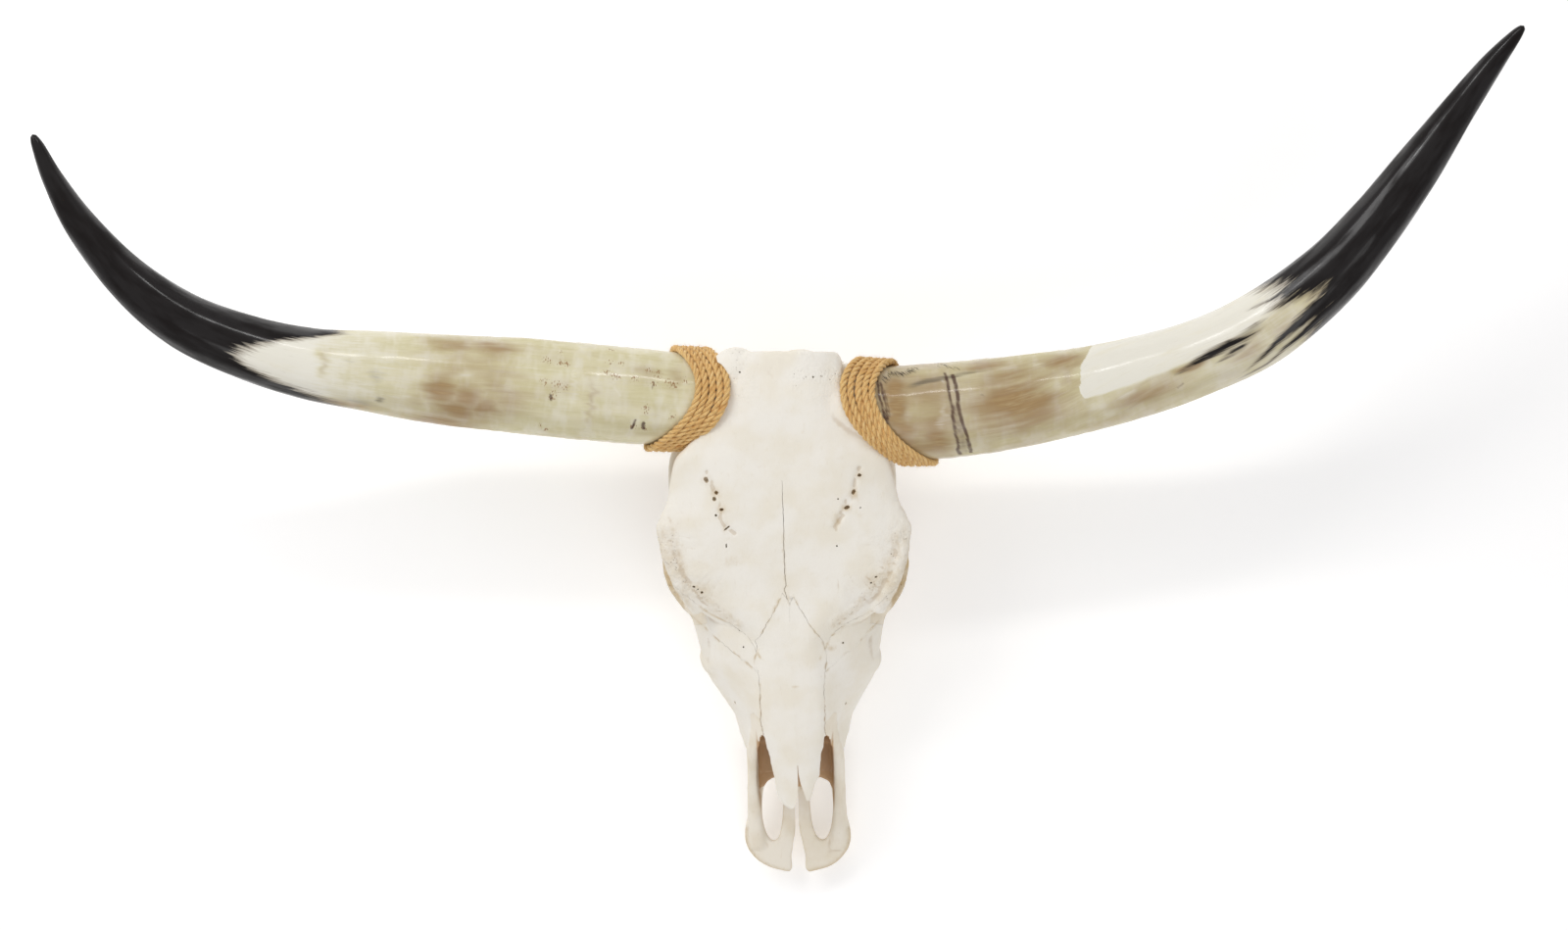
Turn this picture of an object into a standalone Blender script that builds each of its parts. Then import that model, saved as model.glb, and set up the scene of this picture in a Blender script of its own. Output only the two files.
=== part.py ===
"""Longhorn steer skull with its two horn sheaths and the rope bound round each horn base.

The skull lies palate down, on its cheek teeth and on the two processes beside the
condyles, and its forehead looks up.  The skull's own frame is in millimetres: x from the
midline (minus is the animal's right), s forward from the poll, z above the surface that
it lies on.  In the model, forward is -Y and the origin is under the middle of the box.
"""
import math

import bmesh
import bpy
import numpy as np
from mathutils import Matrix, Vector

MM = 0.001

# ---- place of the skull in the model (mm) ----
X_MIDLINE = -3.8
Y_POLL = 122.6
SKEW = 0.026                 # the left half of the skull grew slightly ahead of the right half
BOW_BACK, BOW_FRONT = -3.3, 1.4       # sideways drift of the midline, forehead and nose
BOW_FROM, BOW_TO = 150.0, 420.0

# ---- driving dimensions of the skull (mm) ----
SKULL_LENGTH = 525.0         # poll to the front of the premaxillae
GAP = 0.3                    # between neighbouring bones
FINE = 3.2                   # grain of the bone forms
NEEDLE = 0.04                # faces thinner than this are closed up
BONE_TRIANGLES = 2200
ROOM = 250.0                 # clears the skull on every side

# outline from above: (s, half width) pairs
FRONTAL_HALF = ((-2, 46), (2, 56), (10, 60), (40, 60), (66, 68), (90, 89), (105, 102), (126, 107),
                (148, 112), (160, 118), (173, 122.5), (181, 121.5), (194, 115), (206, 110),
                (217, 103), (228, 98), (245, 95), (256, 82), (270, 60), (286, 42), (300, 31))
NASAL_HALF = ((236, 3), (250, 16), (268, 28), (284, 33), (330, 32), (375, 30), (398, 25.5),
              (420, 23), (436, 18), (448, 12))
CREST_HALF = ((236, 80), (256, 84), (267, 85), (280, 83), (296, 84.5), (308, 86), (320, 82),
              (332, 75), (348, 65), (366, 55), (390, 50))

# side view: (s, height) pairs
TOP_HEIGHT = ((-2, 190), (6, 198), (40, 199), (90, 192), (150, 179), (200, 165), (236, 155),
              (284, 146), (330, 136), (375, 124), (410, 113), (448, 101))
FRONTAL_EDGE = ((-2, 182), (40, 186), (90, 178), (134, 168), (178, 161), (212, 157), (232, 146),
                (248, 132), (262, 128), (286, 131), (300, 132))
FRONTAL_THICK = ((-2, 12), (12, 36), (40, 46), (120, 34), (168, 22), (212, 15), (246, 22), (300, 22))
CREST_HEIGHT = ((236, 112), (264, 104), (284, 94), (308, 84), (332, 74), (366, 66), (390, 62))
GUM_HALF = ((236, 46), (262, 64), (300, 69), (330, 67), (360, 60), (390, 51))
GUM_HEIGHT, PALATE_HEIGHT = 25.0, 36.0

# poll
POLL_BUMP_X = 35.0

# cheek teeth: (length along the jaw, width), from the front premolar to the last molar
TEETH = ((13, 12), (17, 16), (18, 18), (23, 22), (28, 23), (30, 21))
TOOTH_ROW_FRONT, TOOTH_GAP = 398.0, 0.8
TOOTH_LINE = ((262, 57), (300, 58.5), (330, 56), (360, 51), (400, 44))

# nose and front of the jaw
NOSE_BACK = 336.0            # end of the nasal cavity
NASAL_THICK = 6.0
NASAL_SPLIT = 407.0          # the nasal bones part from here forward
PREMAX_OUTER = ((418, 47), (440, 51), (467, 52), (480, 54), (490, 55), (500, 50), (508, 43),
                (516, 33), (522, 22), (525, 14))
PREMAX_INNER = ((418, 0), (478, 0), (486, 2.2), (500, 3.2), (512, 4.2), (520, 6), (525, 11))
PREMAX_Z = (18.0, 31.0)
FISSURE_CENTRE, FISSURE_HALF = (25.2, 461.0), (9.0, 31.0)

# orbit and arch
ORBIT_CENTRE = (113.0, 207.0, 127.0)
ORBIT_RADII = (56.0, 31.0, 25.0)
ORBIT_TURN, ORBIT_TILT = -12.0, -4.0

# ---- horns: (x, s, z, radius) stations from the base to the tip (mm) ----
HORN_OF_LEFT = ((50, 56, 149, 44.5), (105, 62, 150, 45.5), (152, 62, 152, 46.8), (200, 58, 154, 45.6),
                (260, 51, 158, 42.9), (330, 38, 166, 39.6), (400, 19, 179, 36.6), (460, -8, 194, 35.6),
                (518, -52, 214, 31.3), (561, -99, 231, 26.6), (600, -150, 246, 22.4),
                (637, -202, 260, 15.9), (667, -242, 270, 10.9), (688, -267, 277, 6.0),
                (696, -276, 280, 2.4))
HORN_OF_RIGHT = ((-50, 46, 149, 44), (-104, 42, 150, 44.8), (-152, 38, 152, 47.0), (-200, 32, 155, 46.7),
                 (-260, 25, 160, 46.2), (-325, 18, 168, 43.9), (-390, 9, 182, 39.4),
                 (-450, 0, 198, 34.3), (-507, -17, 215, 30.5), (-563, -43, 232, 26.8),
                 (-611, -83, 247, 21.2), (-649, -132, 261, 15.6), (-672, -175, 271, 10.0),
                 (-684, -206, 277, 5.8), (-688, -217, 280, 2.4))
HORN_FLAT_EDGES, HORN_RINGS = 7, 23
HORN_FLARE, FLARE_WITHIN = 0.10, 78.0     # the core widens toward the skull, nearer than this
CORE_START = (24.0, 50.0, 149.0, 46.0)

# ---- rope: turns side by side round each horn base (mm) ----
ROPE_D, ROPE_TURNS, ROPE_PITCH = 6.4, 5, 6.9
ROPE_POINTS_A_TURN = 16
ROPE_LIFT = 1.5              # clear of the horn
ROPE_BED = 0.9               # the bone under the winding is this much slimmer
BED_DEPTH = 24.0             # room cleared round the winding
SADDLE_RADII = (0.5, 24, 47, 62)      # rings of the surface where sheath meets bone; the horn ends at 47
SADDLE_INNER, SADDLE_OUTER = 20.0, 230.0
RIM_ANGLES = 18
# distance of the winding's middle from the midline: mean, cos, sin, cos 2 of the angle round the horn
ROPE_OF_LEFT = (101.0, -17.0, 17.0, -10.0)
ROPE_OF_RIGHT = (94.0, -15.0, 13.0, -10.0)

COLOURS = {
    "cranium": (0.80, 0.74, 0.63), "zygomatic": (0.66, 0.57, 0.42), "lacrimal": (0.76, 0.69, 0.57),
    "maxilla": (0.78, 0.71, 0.59), "nasal": (0.82, 0.77, 0.65), "premaxilla": (0.74, 0.66, 0.52),
    "horn": (0.45, 0.38, 0.22), "rope": (0.56, 0.36, 0.13),
}
ROUGHNESS = {"horn": 0.25, "rope": 0.9}


def curve_value(pairs, s):
    """Smooth value at s of a curve through (s, value) pairs, never overshooting between them."""
    xs, ys = np.array(pairs, float).T
    step = np.diff(ys) / np.diff(xs)
    slope = np.zeros(len(xs))
    slope[0], slope[-1] = step[0], step[-1]
    same = step[:-1] * step[1:] > 0
    slope[1:-1][same] = 2 * step[:-1][same] * step[1:][same] / (step[:-1] + step[1:])[same]
    s = np.clip(np.asarray(s, float), xs[0], xs[-1])
    i = np.clip(np.searchsorted(xs, s, side="right") - 1, 0, len(xs) - 2)
    h = xs[i + 1] - xs[i]
    t = (s - xs[i]) / h
    return ((2 * t**3 - 3 * t**2 + 1) * ys[i] + (t**3 - 2 * t**2 + t) * h * slope[i]
            + (3 * t**2 - 2 * t**3) * ys[i + 1] + (t**3 - t**2) * h * slope[i + 1])


def place(points, skull=True):
    """Model coordinates in metres of (x, s, z) points in millimetres."""
    p = np.array(points, float).reshape(-1, 3)
    x, s, z = p[:, 0].copy(), p[:, 1].copy(), p[:, 2]
    if skull:
        t = np.clip((s - BOW_FROM) / (BOW_TO - BOW_FROM), 0, 1)
        bow = BOW_BACK + (BOW_FRONT - BOW_BACK) * t * t * (3 - 2 * t)
        s = s + SKEW * x
        x = x + bow
    return np.stack([X_MIDLINE + x, Y_POLL - s, z], 1) * MM


def smooth_path(stations, count):
    """Points evenly spaced on a Catmull-Rom curve through the stations, with their radii."""
    p = np.array(stations, float)
    ends = np.vstack([2 * p[0] - p[1], p, 2 * p[-1] - p[-2]])
    fine = []
    for i in range(1, len(ends) - 2):
        a, b, c, d = ends[i - 1:i + 3]
        t = np.linspace(0, 1, 24, endpoint=False)[:, None]
        fine.append(0.5 * (2 * b + (c - a) * t + (2 * a - 5 * b + 4 * c - d) * t**2
                           + (3 * b - a - 3 * c + d) * t**3))
    fine = np.vstack(fine + [p[-1:]])
    run = np.r_[0, np.cumsum(np.linalg.norm(np.diff(fine[:, :3], axis=0), axis=1))]
    at = np.linspace(0, run[-1], count)
    return np.stack([np.interp(at, run, fine[:, k]) for k in range(fine.shape[1])], 1)


def collection(name):
    made = bpy.data.collections.new(name)
    bpy.context.scene.collection.children.link(made)
    return made


def add_object(name, mesh, group):
    made = bpy.data.objects.new(name, mesh)
    group.objects.link(made)
    return made


def mesh_of(obj):
    """A new mesh of an object as its modifiers leave it, with its place applied."""
    graph = bpy.context.evaluated_depsgraph_get()
    mesh = bpy.data.meshes.new_from_object(obj.evaluated_get(graph))
    mesh.transform(obj.matrix_world)
    return mesh


def remove(*objects):
    for obj in objects:
        bpy.data.objects.remove(obj, do_unlink=True)


def loft(rings, name="loft"):
    """Closed body through rings of equally many points, each ring an (n, 3) array in metres."""
    rings = np.array(rings)
    count, around = rings.shape[:2]
    bm = bmesh.new()
    verts = [[bm.verts.new(p) for p in ring] for ring in rings]
    for a, b in zip(verts[:-1], verts[1:]):
        for i in range(around):
            j = (i + 1) % around
            bm.faces.new((a[i], a[j], b[j], b[i]))
    bm.faces.new(verts[0][::-1])
    bm.faces.new(verts[-1])
    bmesh.ops.recalc_face_normals(bm, faces=bm.faces)
    mesh = bpy.data.meshes.new(name)
    bm.to_mesh(mesh)
    bm.free()
    return mesh


def prism(outline, low, high, name="prism"):
    """Upright block over a plan outline of (x, s) points; low and high are heights, of all or of each."""
    pts = np.array(outline, float)
    rings = [place(np.column_stack([pts, np.broadcast_to(h, len(pts))])) for h in (low, high)]
    return loft(rings, name)


def tube(points, name="tube", skull=True, resolution=3, count=None):
    """Round bar through (x, s, z, radius) stations."""
    p = smooth_path(points, count or 6 * len(points))
    centre = place(p[:, :3], skull)
    data = bpy.data.curves.new(name, "CURVE")
    data.dimensions = "3D"
    data.bevel_depth = MM
    data.bevel_resolution = resolution
    data.use_fill_caps = True
    spline = data.splines.new("POLY")
    spline.points.add(len(p) - 1)
    for point, co, radius in zip(spline.points, centre, p[:, 3]):
        point.co = (*co, 1.0)
        point.radius = radius
    curve = add_object(name, data, GUIDES)
    mesh = mesh_of(curve)
    remove(curve)
    bm = bmesh.new()
    bm.from_mesh(mesh)
    bmesh.ops.remove_doubles(bm, verts=bm.verts, dist=1e-6)
    bmesh.ops.recalc_face_normals(bm, faces=bm.faces)
    bm.to_mesh(mesh)
    bm.free()
    return mesh


def ball(centre, radii, turn=(0, 0, 0), segments=24, name="ball"):
    """Ellipsoid with its half axes across, forward and up, turned by degrees about x, y and z."""
    bm = bmesh.new()
    bmesh.ops.create_uvsphere(bm, u_segments=segments, v_segments=segments // 2, radius=1.0)
    turned = Matrix.Identity(3)
    for axis, angle in zip("XYZ", turn):
        turned = Matrix.Rotation(math.radians(angle), 3, axis) @ turned
    spread = Matrix.Diagonal(Vector(radii)) * MM
    bm.transform(Matrix.Translation(place([centre])[0]) @ (turned @ spread).to_4x4())
    mesh = bpy.data.meshes.new(name)
    bm.to_mesh(mesh)
    bm.free()
    return mesh


def joined(meshes, name):
    """One object of several overlapping closed meshes."""
    bm = bmesh.new()
    for mesh in meshes:
        bm.from_mesh(mesh)
    whole = bpy.data.meshes.new(name)
    bm.to_mesh(whole)
    bm.free()
    return add_object(name, whole, GUIDES)


def in_order(mesh):
    """The same mesh with its corners and faces in one fixed order."""
    co = np.empty(3 * len(mesh.vertices), np.float32)
    mesh.vertices.foreach_get("co", co)
    co = co.reshape(-1, 3)
    order = np.lexsort(co.T)
    rank = np.empty(len(order), int)
    rank[order] = np.arange(len(order))
    faces = []
    for polygon in mesh.polygons:
        corners = [int(rank[v]) for v in polygon.vertices]
        first = corners.index(min(corners))
        faces.append(tuple(corners[first:] + corners[:first]))
    made = bpy.data.meshes.new(mesh.name)
    made.from_pydata(co[order].tolist(), [], sorted(faces))
    return made


def boolean(obj, mesh, operation):
    """Cut the object by a mesh, or keep what lies inside it, and close up needle-thin faces."""
    cutter = add_object("cutter", mesh, GUIDES)
    cutter.hide_render = True
    cutter.display_type = "WIRE"
    cut = obj.modifiers.new("cut", "BOOLEAN")
    cut.operation = operation
    cut.solver = "EXACT"
    cut.object = cutter
    obj.data = in_order(mesh_of(obj))
    obj.modifiers.clear()
    remove(cutter)
    bm = bmesh.new()
    bm.from_mesh(obj.data)
    bmesh.ops.dissolve_degenerate(bm, dist=NEEDLE * MM, edges=bm.edges)
    bmesh.ops.triangulate(bm, faces=bm.faces)
    bm.to_mesh(obj.data)
    bm.free()


def keep_largest(obj):
    """Drop crumbs: keep the connected body that has the most corners."""
    bm = bmesh.new()
    bm.from_mesh(obj.data)
    left = set(bm.verts)
    bodies = []
    while left:
        body = set()
        edge_of = [left.pop()]
        while edge_of:
            vert = edge_of.pop()
            body.add(vert)
            near = {e.other_vert(vert) for e in vert.link_edges} & left
            left -= near
            edge_of.extend(near)
        bodies.append(body)
    largest = max(bodies, key=len)
    bmesh.ops.delete(bm, geom=[v for v in bm.verts if v not in largest], context="VERTS")
    bm.to_mesh(obj.data)
    bm.free()


def fused(obj, grain, triangles, passes):
    """Melt overlapping forms into one skin, soften it and thin it to a number of triangles."""
    skin = obj.modifiers.new("skin", "REMESH")
    skin.mode = "VOXEL"
    skin.voxel_size = grain * MM
    soft = obj.modifiers.new("soft", "SMOOTH")
    soft.factor = 0.5
    soft.iterations = passes
    obj.data = mesh_of(obj)
    obj.modifiers.clear()
    thin = obj.modifiers.new("thin", "DECIMATE")
    thin.ratio = min(1.0, triangles / (2 * len(obj.data.polygons)))
    obj.data = mesh_of(obj)
    obj.modifiers.clear()
    keep_largest(obj)


def half_ring(points, per_span=3):
    """Closed section, symmetric about the midline, through (x, z) points from top to bottom."""
    half = smooth_path(points, per_span * (len(points) - 1) + 1)
    half[0, 0] = half[-1, 0] = 0.0
    return np.vstack([half, half[-2:0:-1] * (-1, 1)])


def section_rings(section, stations):
    """Rings of a loft from a function that gives (x, z) points at a distance s."""
    rings = []
    for s in stations:
        ring = half_ring(section(s))
        rings.append(place(np.column_stack([ring[:, 0], np.full(len(ring), s), ring[:, 1]])))
    return rings


# ---- forms of the skull ----

def roof_section(s):
    """Forehead: broad and nearly flat, its edges overhanging the temples."""
    half, top, edge = (float(curve_value(c, s)) for c in (FRONTAL_HALF, TOP_HEIGHT, FRONTAL_EDGE))
    thick = float(curve_value(FRONTAL_THICK, s))
    under = thick + float(curve_value(((-2, 14), (12, 20), (190, 20), (212, 10), (246, 26), (300, 20)), s))
    return ((0, top), (0.45 * half, top - 1), (0.78 * half, 0.45 * top + 0.55 * edge), (half, edge - 3),
            (0.95 * half, edge - 0.6 * thick), (0.6 * half, top - under + 4), (0, top - under - 4))


def face_section(s):
    """Face before the orbits: nose bridge, sloping cheek, crest, gum and palate."""
    top = float(curve_value(TOP_HEIGHT, s))
    bridge = max(24.0, float(curve_value(NASAL_HALF, s)))
    crest, height, gum = (float(curve_value(c, s)) for c in (CREST_HALF, CREST_HEIGHT, GUM_HALF))
    full = float(curve_value(((236, 12), (284, 9), (330, 3), (390, -1)), s))
    return ((0, top), (0.6 * bridge, top - 2), (bridge, top - 8),
            (0.5 * (bridge + crest) + 2, 0.5 * (top - 8 + height) + full), (crest, height),
            (0.55 * crest + 0.45 * gum, 0.5 * (height + GUM_HEIGHT)), (gum, GUM_HEIGHT),
            (gum - 20, GUM_HEIGHT + 1), (0.4 * gum, PALATE_HEIGHT), (0, PALATE_HEIGHT + 1))


def palate_section(s):
    """Roof of the mouth before the teeth: two firm margins with a shallow vault between."""
    half = float(curve_value(((376, 50), (400, 46), (436, 44)), s))
    low = float(curve_value(((376, 24), (400, 24), (436, 23)), s))
    return ((0, 41), (0.7 * half, 41), (half, 34), (half - 3, low + 2), (0.75 * half, low),
            (0.5 * half, low + 7), (0, low + 10))


def nose_section(s):
    """Nasal bones as one arched plate that reaches forward over the nostrils."""
    top, half = float(curve_value(TOP_HEIGHT, s)), max(10.0, float(curve_value(NASAL_HALF, s)))
    drop = 8 * min(1.0, half / 30)
    return ((0, top), (0.6 * half, top - 0.3 * drop), (half, top - drop), (0.9 * half, top - drop - 4),
            (0.5 * half, top - NASAL_THICK - 1.5), (0, top - NASAL_THICK))


def brain_section(s):
    """Braincase, from the broad nape to the narrow place between the orbits."""
    wide = float(curve_value(((6, 60), (22, 76), (44, 70), (80, 55), (130, 50), (165, 40), (240, 42)), s))
    low = float(curve_value(((6, 74), (22, 50), (44, 42), (130, 44), (200, 40), (240, 34)), s))
    top = float(curve_value(TOP_HEIGHT, s)) - 20
    waist = float(curve_value(((6, 105), (44, 95), (130, 100), (240, 90)), s))
    return ((0, top), (0.6 * wide, top - 6), (0.92 * wide, 0.4 * top + 0.6 * waist), (wide, waist),
            (0.8 * wide, 0.4 * waist + 0.6 * low), (0.45 * wide, low + 2), (0, low))


def teeth(side):
    """Cheek teeth of one jaw, ground to one level, each a rounded block."""
    made = []
    front = TOOTH_ROW_FRONT
    for length, width in TEETH:
        s = front - length / 2
        x = side * float(curve_value(TOOTH_LINE, s))
        lean = math.atan2(float(curve_value(TOOTH_LINE, s - 5) - curve_value(TOOTH_LINE, s + 5)), 10)
        angles = np.linspace(0, 2 * math.pi, 16, endpoint=False)
        c, n = np.cos(angles), np.sin(angles)
        across = np.sign(c) * np.abs(c)**0.6 * width / 2
        along = np.sign(n) * np.abs(n)**0.6 * (length - TOOTH_GAP) / 2
        turn = side * lean
        xs = x + across * math.cos(turn) + along * -math.sin(turn)
        ss = s + along * math.cos(turn) + across * math.sin(turn)
        levels = (-3.0, 14.0, GUM_HEIGHT + 12)
        made.append(loft([place(np.column_stack([xs, ss, np.full(16, z)])) for z in levels]))
        front -= length
    return made


def side_forms(side):
    """Forms that stand on one side of the skull: orbit rim, arch, jaw roots and processes."""
    def bar(*stations):
        return tube([(side * x, s, z, r) for x, s, z, r in stations])

    def knob(centre, radii, turn=(0, 0, 0)):
        return ball((side * centre[0], *centre[1:]), radii, (turn[0], side * turn[1], side * turn[2]))

    rim = [bar((86, 250, 128, 10), (94, 238, 137, 9), (104, 222, 147, 8), (112, 200, 152, 8),
               (113, 180, 150, 9), (111, 169, 139, 9), (110, 167, 124, 8), (111, 172, 109, 8),
               (113, 186, 98, 8), (114, 200, 94, 8), (113, 214, 94, 8.5), (107, 230, 96, 9.5),
               (98, 241, 100, 11), (88, 246, 106, 12))]
    arch = [bar((60, 84, 80, 15), (84, 88, 80, 12), (100, 98, 84, 9.5), (105.5, 116, 88, 8),
                (106, 144, 92, 7.5), (109, 168, 96, 7.5), (113, 188, 97, 7.5)),
            knob((80, 106, 76), (24, 13, 8))]
    cheek = [knob((78, 304, 84), (12, 17, 10), (0, 0, -18)),
             bar((97, 243, 99, 11), (86, 256, 98, 11), (79, 286, 90, 11), (76, 312, 80, 10)),
             knob((52, 262, 44), (15, 14, 20))]
    nape = [knob((22, 20, 55), (12.5, 15, 20), (0, 18, 12)),
            bar((52, 42, 86, 18), (50, 40, 54, 15), (47, 38, 28, 11), (45, 37, -4, 8)),
            knob((68, 52, 98), (17, 22, 24)),
            knob((36, 78, 38), (12, 18, 15)),
            bar((50, 84, 60, 11), (70, 82, 72, 9), (82, 80, 78, 7))]
    throat = [bar((26, 150, 66, 12), (24, 185, 48, 9), (22, 206, 34, 7)),
              bar((24, 196, 50, 9), (24, 222, 42, 9), (26, 246, 36, 10), (34, 262, 36, 11)),
              bar((24, 192, 60, 9), (24, 222, 60, 9), (26, 250, 56, 10))]
    return rim + arch + cheek + nape + throat


def jaw_wall(side):
    """Side of the nose from the cheek to the front of the jaw: high behind, a low bar in front."""
    rings = []
    for s in np.linspace(352, 500, 16):
        outer = float(curve_value(((352, 58), (366, 54), (388, 50), (430, 50), (467, 51), (500, 50)), s))
        inner = float(curve_value(((352, 40), (372, 36), (400, 37), (440, 35), (467, 34.5), (500, 32)), s))
        top = float(curve_value(((352, 112), (372, 102), (400, 84), (430, 62), (467, 43), (500, 31)), s))
        low = float(curve_value(((352, 30), (400, 30), (440, 25), (467, 20), (500, 17)), s))
        lean = float(curve_value(((352, 6), (400, 4), (467, 2), (500, 0)), s))
        half = 0.5 * (outer - inner)
        angles = np.linspace(0, 2 * math.pi, 16, endpoint=False)
        c, n = np.cos(angles), np.sin(angles)
        up = np.sign(n) * np.abs(n)**0.7
        x = 0.5 * (outer + inner) + np.sign(c) * np.abs(c)**0.8 * half - lean * (up * 0.5 + 0.5)
        z = 0.5 * (top + low) + up * 0.5 * (top - low)
        rings.append(place(np.column_stack([side * x, np.full(16, s), z])))
    return loft(rings)


def premaxilla_plate(side):
    """Flat front of the jaw in plan: rounded tips, and a middle strip that runs back to the palate."""
    stations = np.linspace(418, SKULL_LENGTH, 26)
    outer = np.column_stack([curve_value(PREMAX_OUTER, stations), stations])
    inner = np.column_stack([curve_value(PREMAX_INNER, stations) - 1.5 * (stations < 480), stations])
    outline = np.vstack([outer, inner[::-1]]) * (side, 1)
    s = outline[:, 1]
    low = PREMAX_Z[0] + 6 * np.clip((480 - s) / 60, 0, 1)
    high = PREMAX_Z[1] - 5 * np.clip((s - 480) / 45, 0, 1)
    return prism(outline, low, high)


def build_skull():
    """The whole skull, without its parting lines."""
    forms = [loft(section_rings(roof_section, np.linspace(-2, 300, 36))),
             loft(section_rings(face_section, np.linspace(236, 390, 20))),
             loft(section_rings(nose_section, np.linspace(330, 448, 16))),
             loft(section_rings(brain_section, np.linspace(6, 240, 20))),
             loft(section_rings(palate_section, np.linspace(376, 436, 8))),
             tube([(0, 34, 42, 13), (0, 70, 40, 12), (0, 110, 42, 13), (0, 160, 56, 15)]),
             ball((0, 12, 184), (40, 12, 13)),
             ball((0, 9, 146), (10, 8, 26))]
    for side, stations in ((-1, HORN_OF_RIGHT), (1, HORN_OF_LEFT)):
        forms += side_forms(side) + teeth(side) + [jaw_wall(side), premaxilla_plate(side)]
        forms.append(ball((side * POLL_BUMP_X, 16, 184), (22, 17, 14)))
        core = ((side * CORE_START[0], *CORE_START[1:]), *stations[:3])
        forms.append(tube(core, skull=False, resolution=6))
    skull = joined(forms, "skull")
    fused(skull, FINE, 16000, 2)
    for cutter in hollows():
        boolean(skull, cutter, "DIFFERENCE")
    fused(skull, FINE, BONE_TRIANGLES, 5)
    return skull


def hollows():
    """Openings of the skull as solids."""
    rings = []
    for s in np.linspace(NOSE_BACK, 470, 14):
        top = float(curve_value(TOP_HEIGHT, s)) - NASAL_THICK
        wide = float(curve_value(((NOSE_BACK, 12), (345, 24), (372, 29), (400, 33), (470, 33)), s))
        roof = min(wide, float(curve_value(NASAL_HALF, s)) - 2)
        low = float(curve_value(((NOSE_BACK, 62), (345, 46), (372, 41), (430, 40), (470, 36)), s))
        high = top - (18 if s < NOSE_BACK + 1 else 1)
        ring = half_ring(((0, high), (0.6 * roof, high - 2), (roof, high - 9), (wide, 0.5 * (high + low)),
                          (0.9 * wide, low + 8), (0.5 * wide, low), (0, low)))
        rings.append(place(np.column_stack([ring[:, 0], np.full(len(ring), s), ring[:, 1]])))
    split = ((0, NASAL_SPLIT), (7, 452), (-7, 452))
    made = [loft(rings), prism(split, 60, 160)]
    for side in (-1, 1):
        made.append(ball((side * ORBIT_CENTRE[0], *ORBIT_CENTRE[1:]), ORBIT_RADII,
                         (0, side * ORBIT_TILT, side * ORBIT_TURN), segments=32))
        angles = np.linspace(0, 2 * math.pi, 20, endpoint=False)
        cx, cs = FISSURE_CENTRE
        ax, length = FISSURE_HALF
        hole = np.column_stack([side * (cx + ax * np.cos(angles) * (1 + 0.15 * np.sin(angles))),
                                cs + length * np.sin(angles)])
        made.append(prism(hole, 8, 48))
    made.append(ball((0, 4, 60), (17, 42, 14)))
    made.append(ball((0, 236, 30), (15, 42, 20)))
    return made


# ---- parting the skull into its bones ----

PREMAX_CORNERS = ((342.5, 160), (342.5, 120), (438, 19), (438, -5), (545, -5), (545, 160))   # s, z
NASAL_DEPTH = ((236, 6.6), (326, 6.6), (345, 10.0), (462, 10.0))


def nasal_floor(x, s):
    """Underside of the nasal bones."""
    half = np.maximum(10.0, curve_value(NASAL_HALF, s))
    arch = 4.8 * np.minimum(1, half / 30) * (np.abs(x) / half)**2
    return curve_value(TOP_HEIGHT, s) - curve_value(NASAL_DEPTH, s) - arch


def across(side, half, grow):
    """Least and greatest x of a region: from the midline gap outward, or both sides when side is 0."""
    wide = half + grow
    if side == 0:
        return -wide, wide
    return tuple(sorted((side * GAP / 2, side * wide)))


def nasal_region(side, grow):
    """Room of a nasal bone, or of both, above the underside; larger all round by grow."""
    rings = []
    for s in (236 - grow, 243, 252, 262, 274, 290, 340, 385, 402, 436, 462):
        half = float(curve_value(NASAL_HALF, s)) + (6 if s > 400 else 0)
        x = np.linspace(*across(side, half, grow), 3 if side else 5)
        low = np.array([nasal_floor(v, s) for v in x]) - grow
        ring = np.vstack([np.column_stack([x, low]), [(x[-1], 200.0), (x[0], 200.0)]])
        rings.append(place(np.column_stack([ring[:, 0], np.full(len(ring), s), ring[:, 1]])))
    return loft(rings)


def plan_region(side, outline, low, high, grow):
    """Upright block over a plan outline, larger all round by grow."""
    pts = np.array(outline, float)
    ahead = np.roll(pts, -1, 0) - pts
    ahead /= np.linalg.norm(ahead, axis=1)[:, None]
    behind = np.roll(ahead, 1, 0)
    area = 0.5 * np.sum(pts[:, 0] * np.roll(pts[:, 1], -1) - np.roll(pts[:, 0], -1) * pts[:, 1])
    outward = np.sign(area) * np.column_stack([ahead[:, 1] + behind[:, 1], -ahead[:, 0] - behind[:, 0]])
    outward /= (1 + np.sum(ahead * behind, axis=1))[:, None]
    grown = (pts + grow * outward) * (side, 1)
    return prism(grown, low - grow, high + grow)


def front_region(side, grow):
    """Room of a premaxilla, or of both: before a line that slants forward down the side of the nose."""
    corners = np.array(PREMAX_CORNERS) - (grow, 0)
    rings = []
    for x in across(side, 90.0, grow):
        rings.append(place(np.column_stack([np.full(len(corners), x), corners])))
    return loft(rings)


LACRIMAL = ((29, 300), (40, 278), (54, 267), (76, 256), (95, 240), (112, 226), (112, 246), (92, 262),
            (71, 282), (50, 298), (29, 317))
LACRIMAL_LOW = 113.0
ZYGOMATIC = ((84, 152), (140, 152), (140, 246), (98, 270), (80, 266), (72, 252), (84, 236), (88, 200))
ZYGOMATIC_LOW, ZYGOMATIC_HIGH = 62.0, 112.5
MAXILLA_TOP = ((256, 102), (264, 103), (282, 112), (298, 129), (308, 160), (314, 220))


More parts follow.
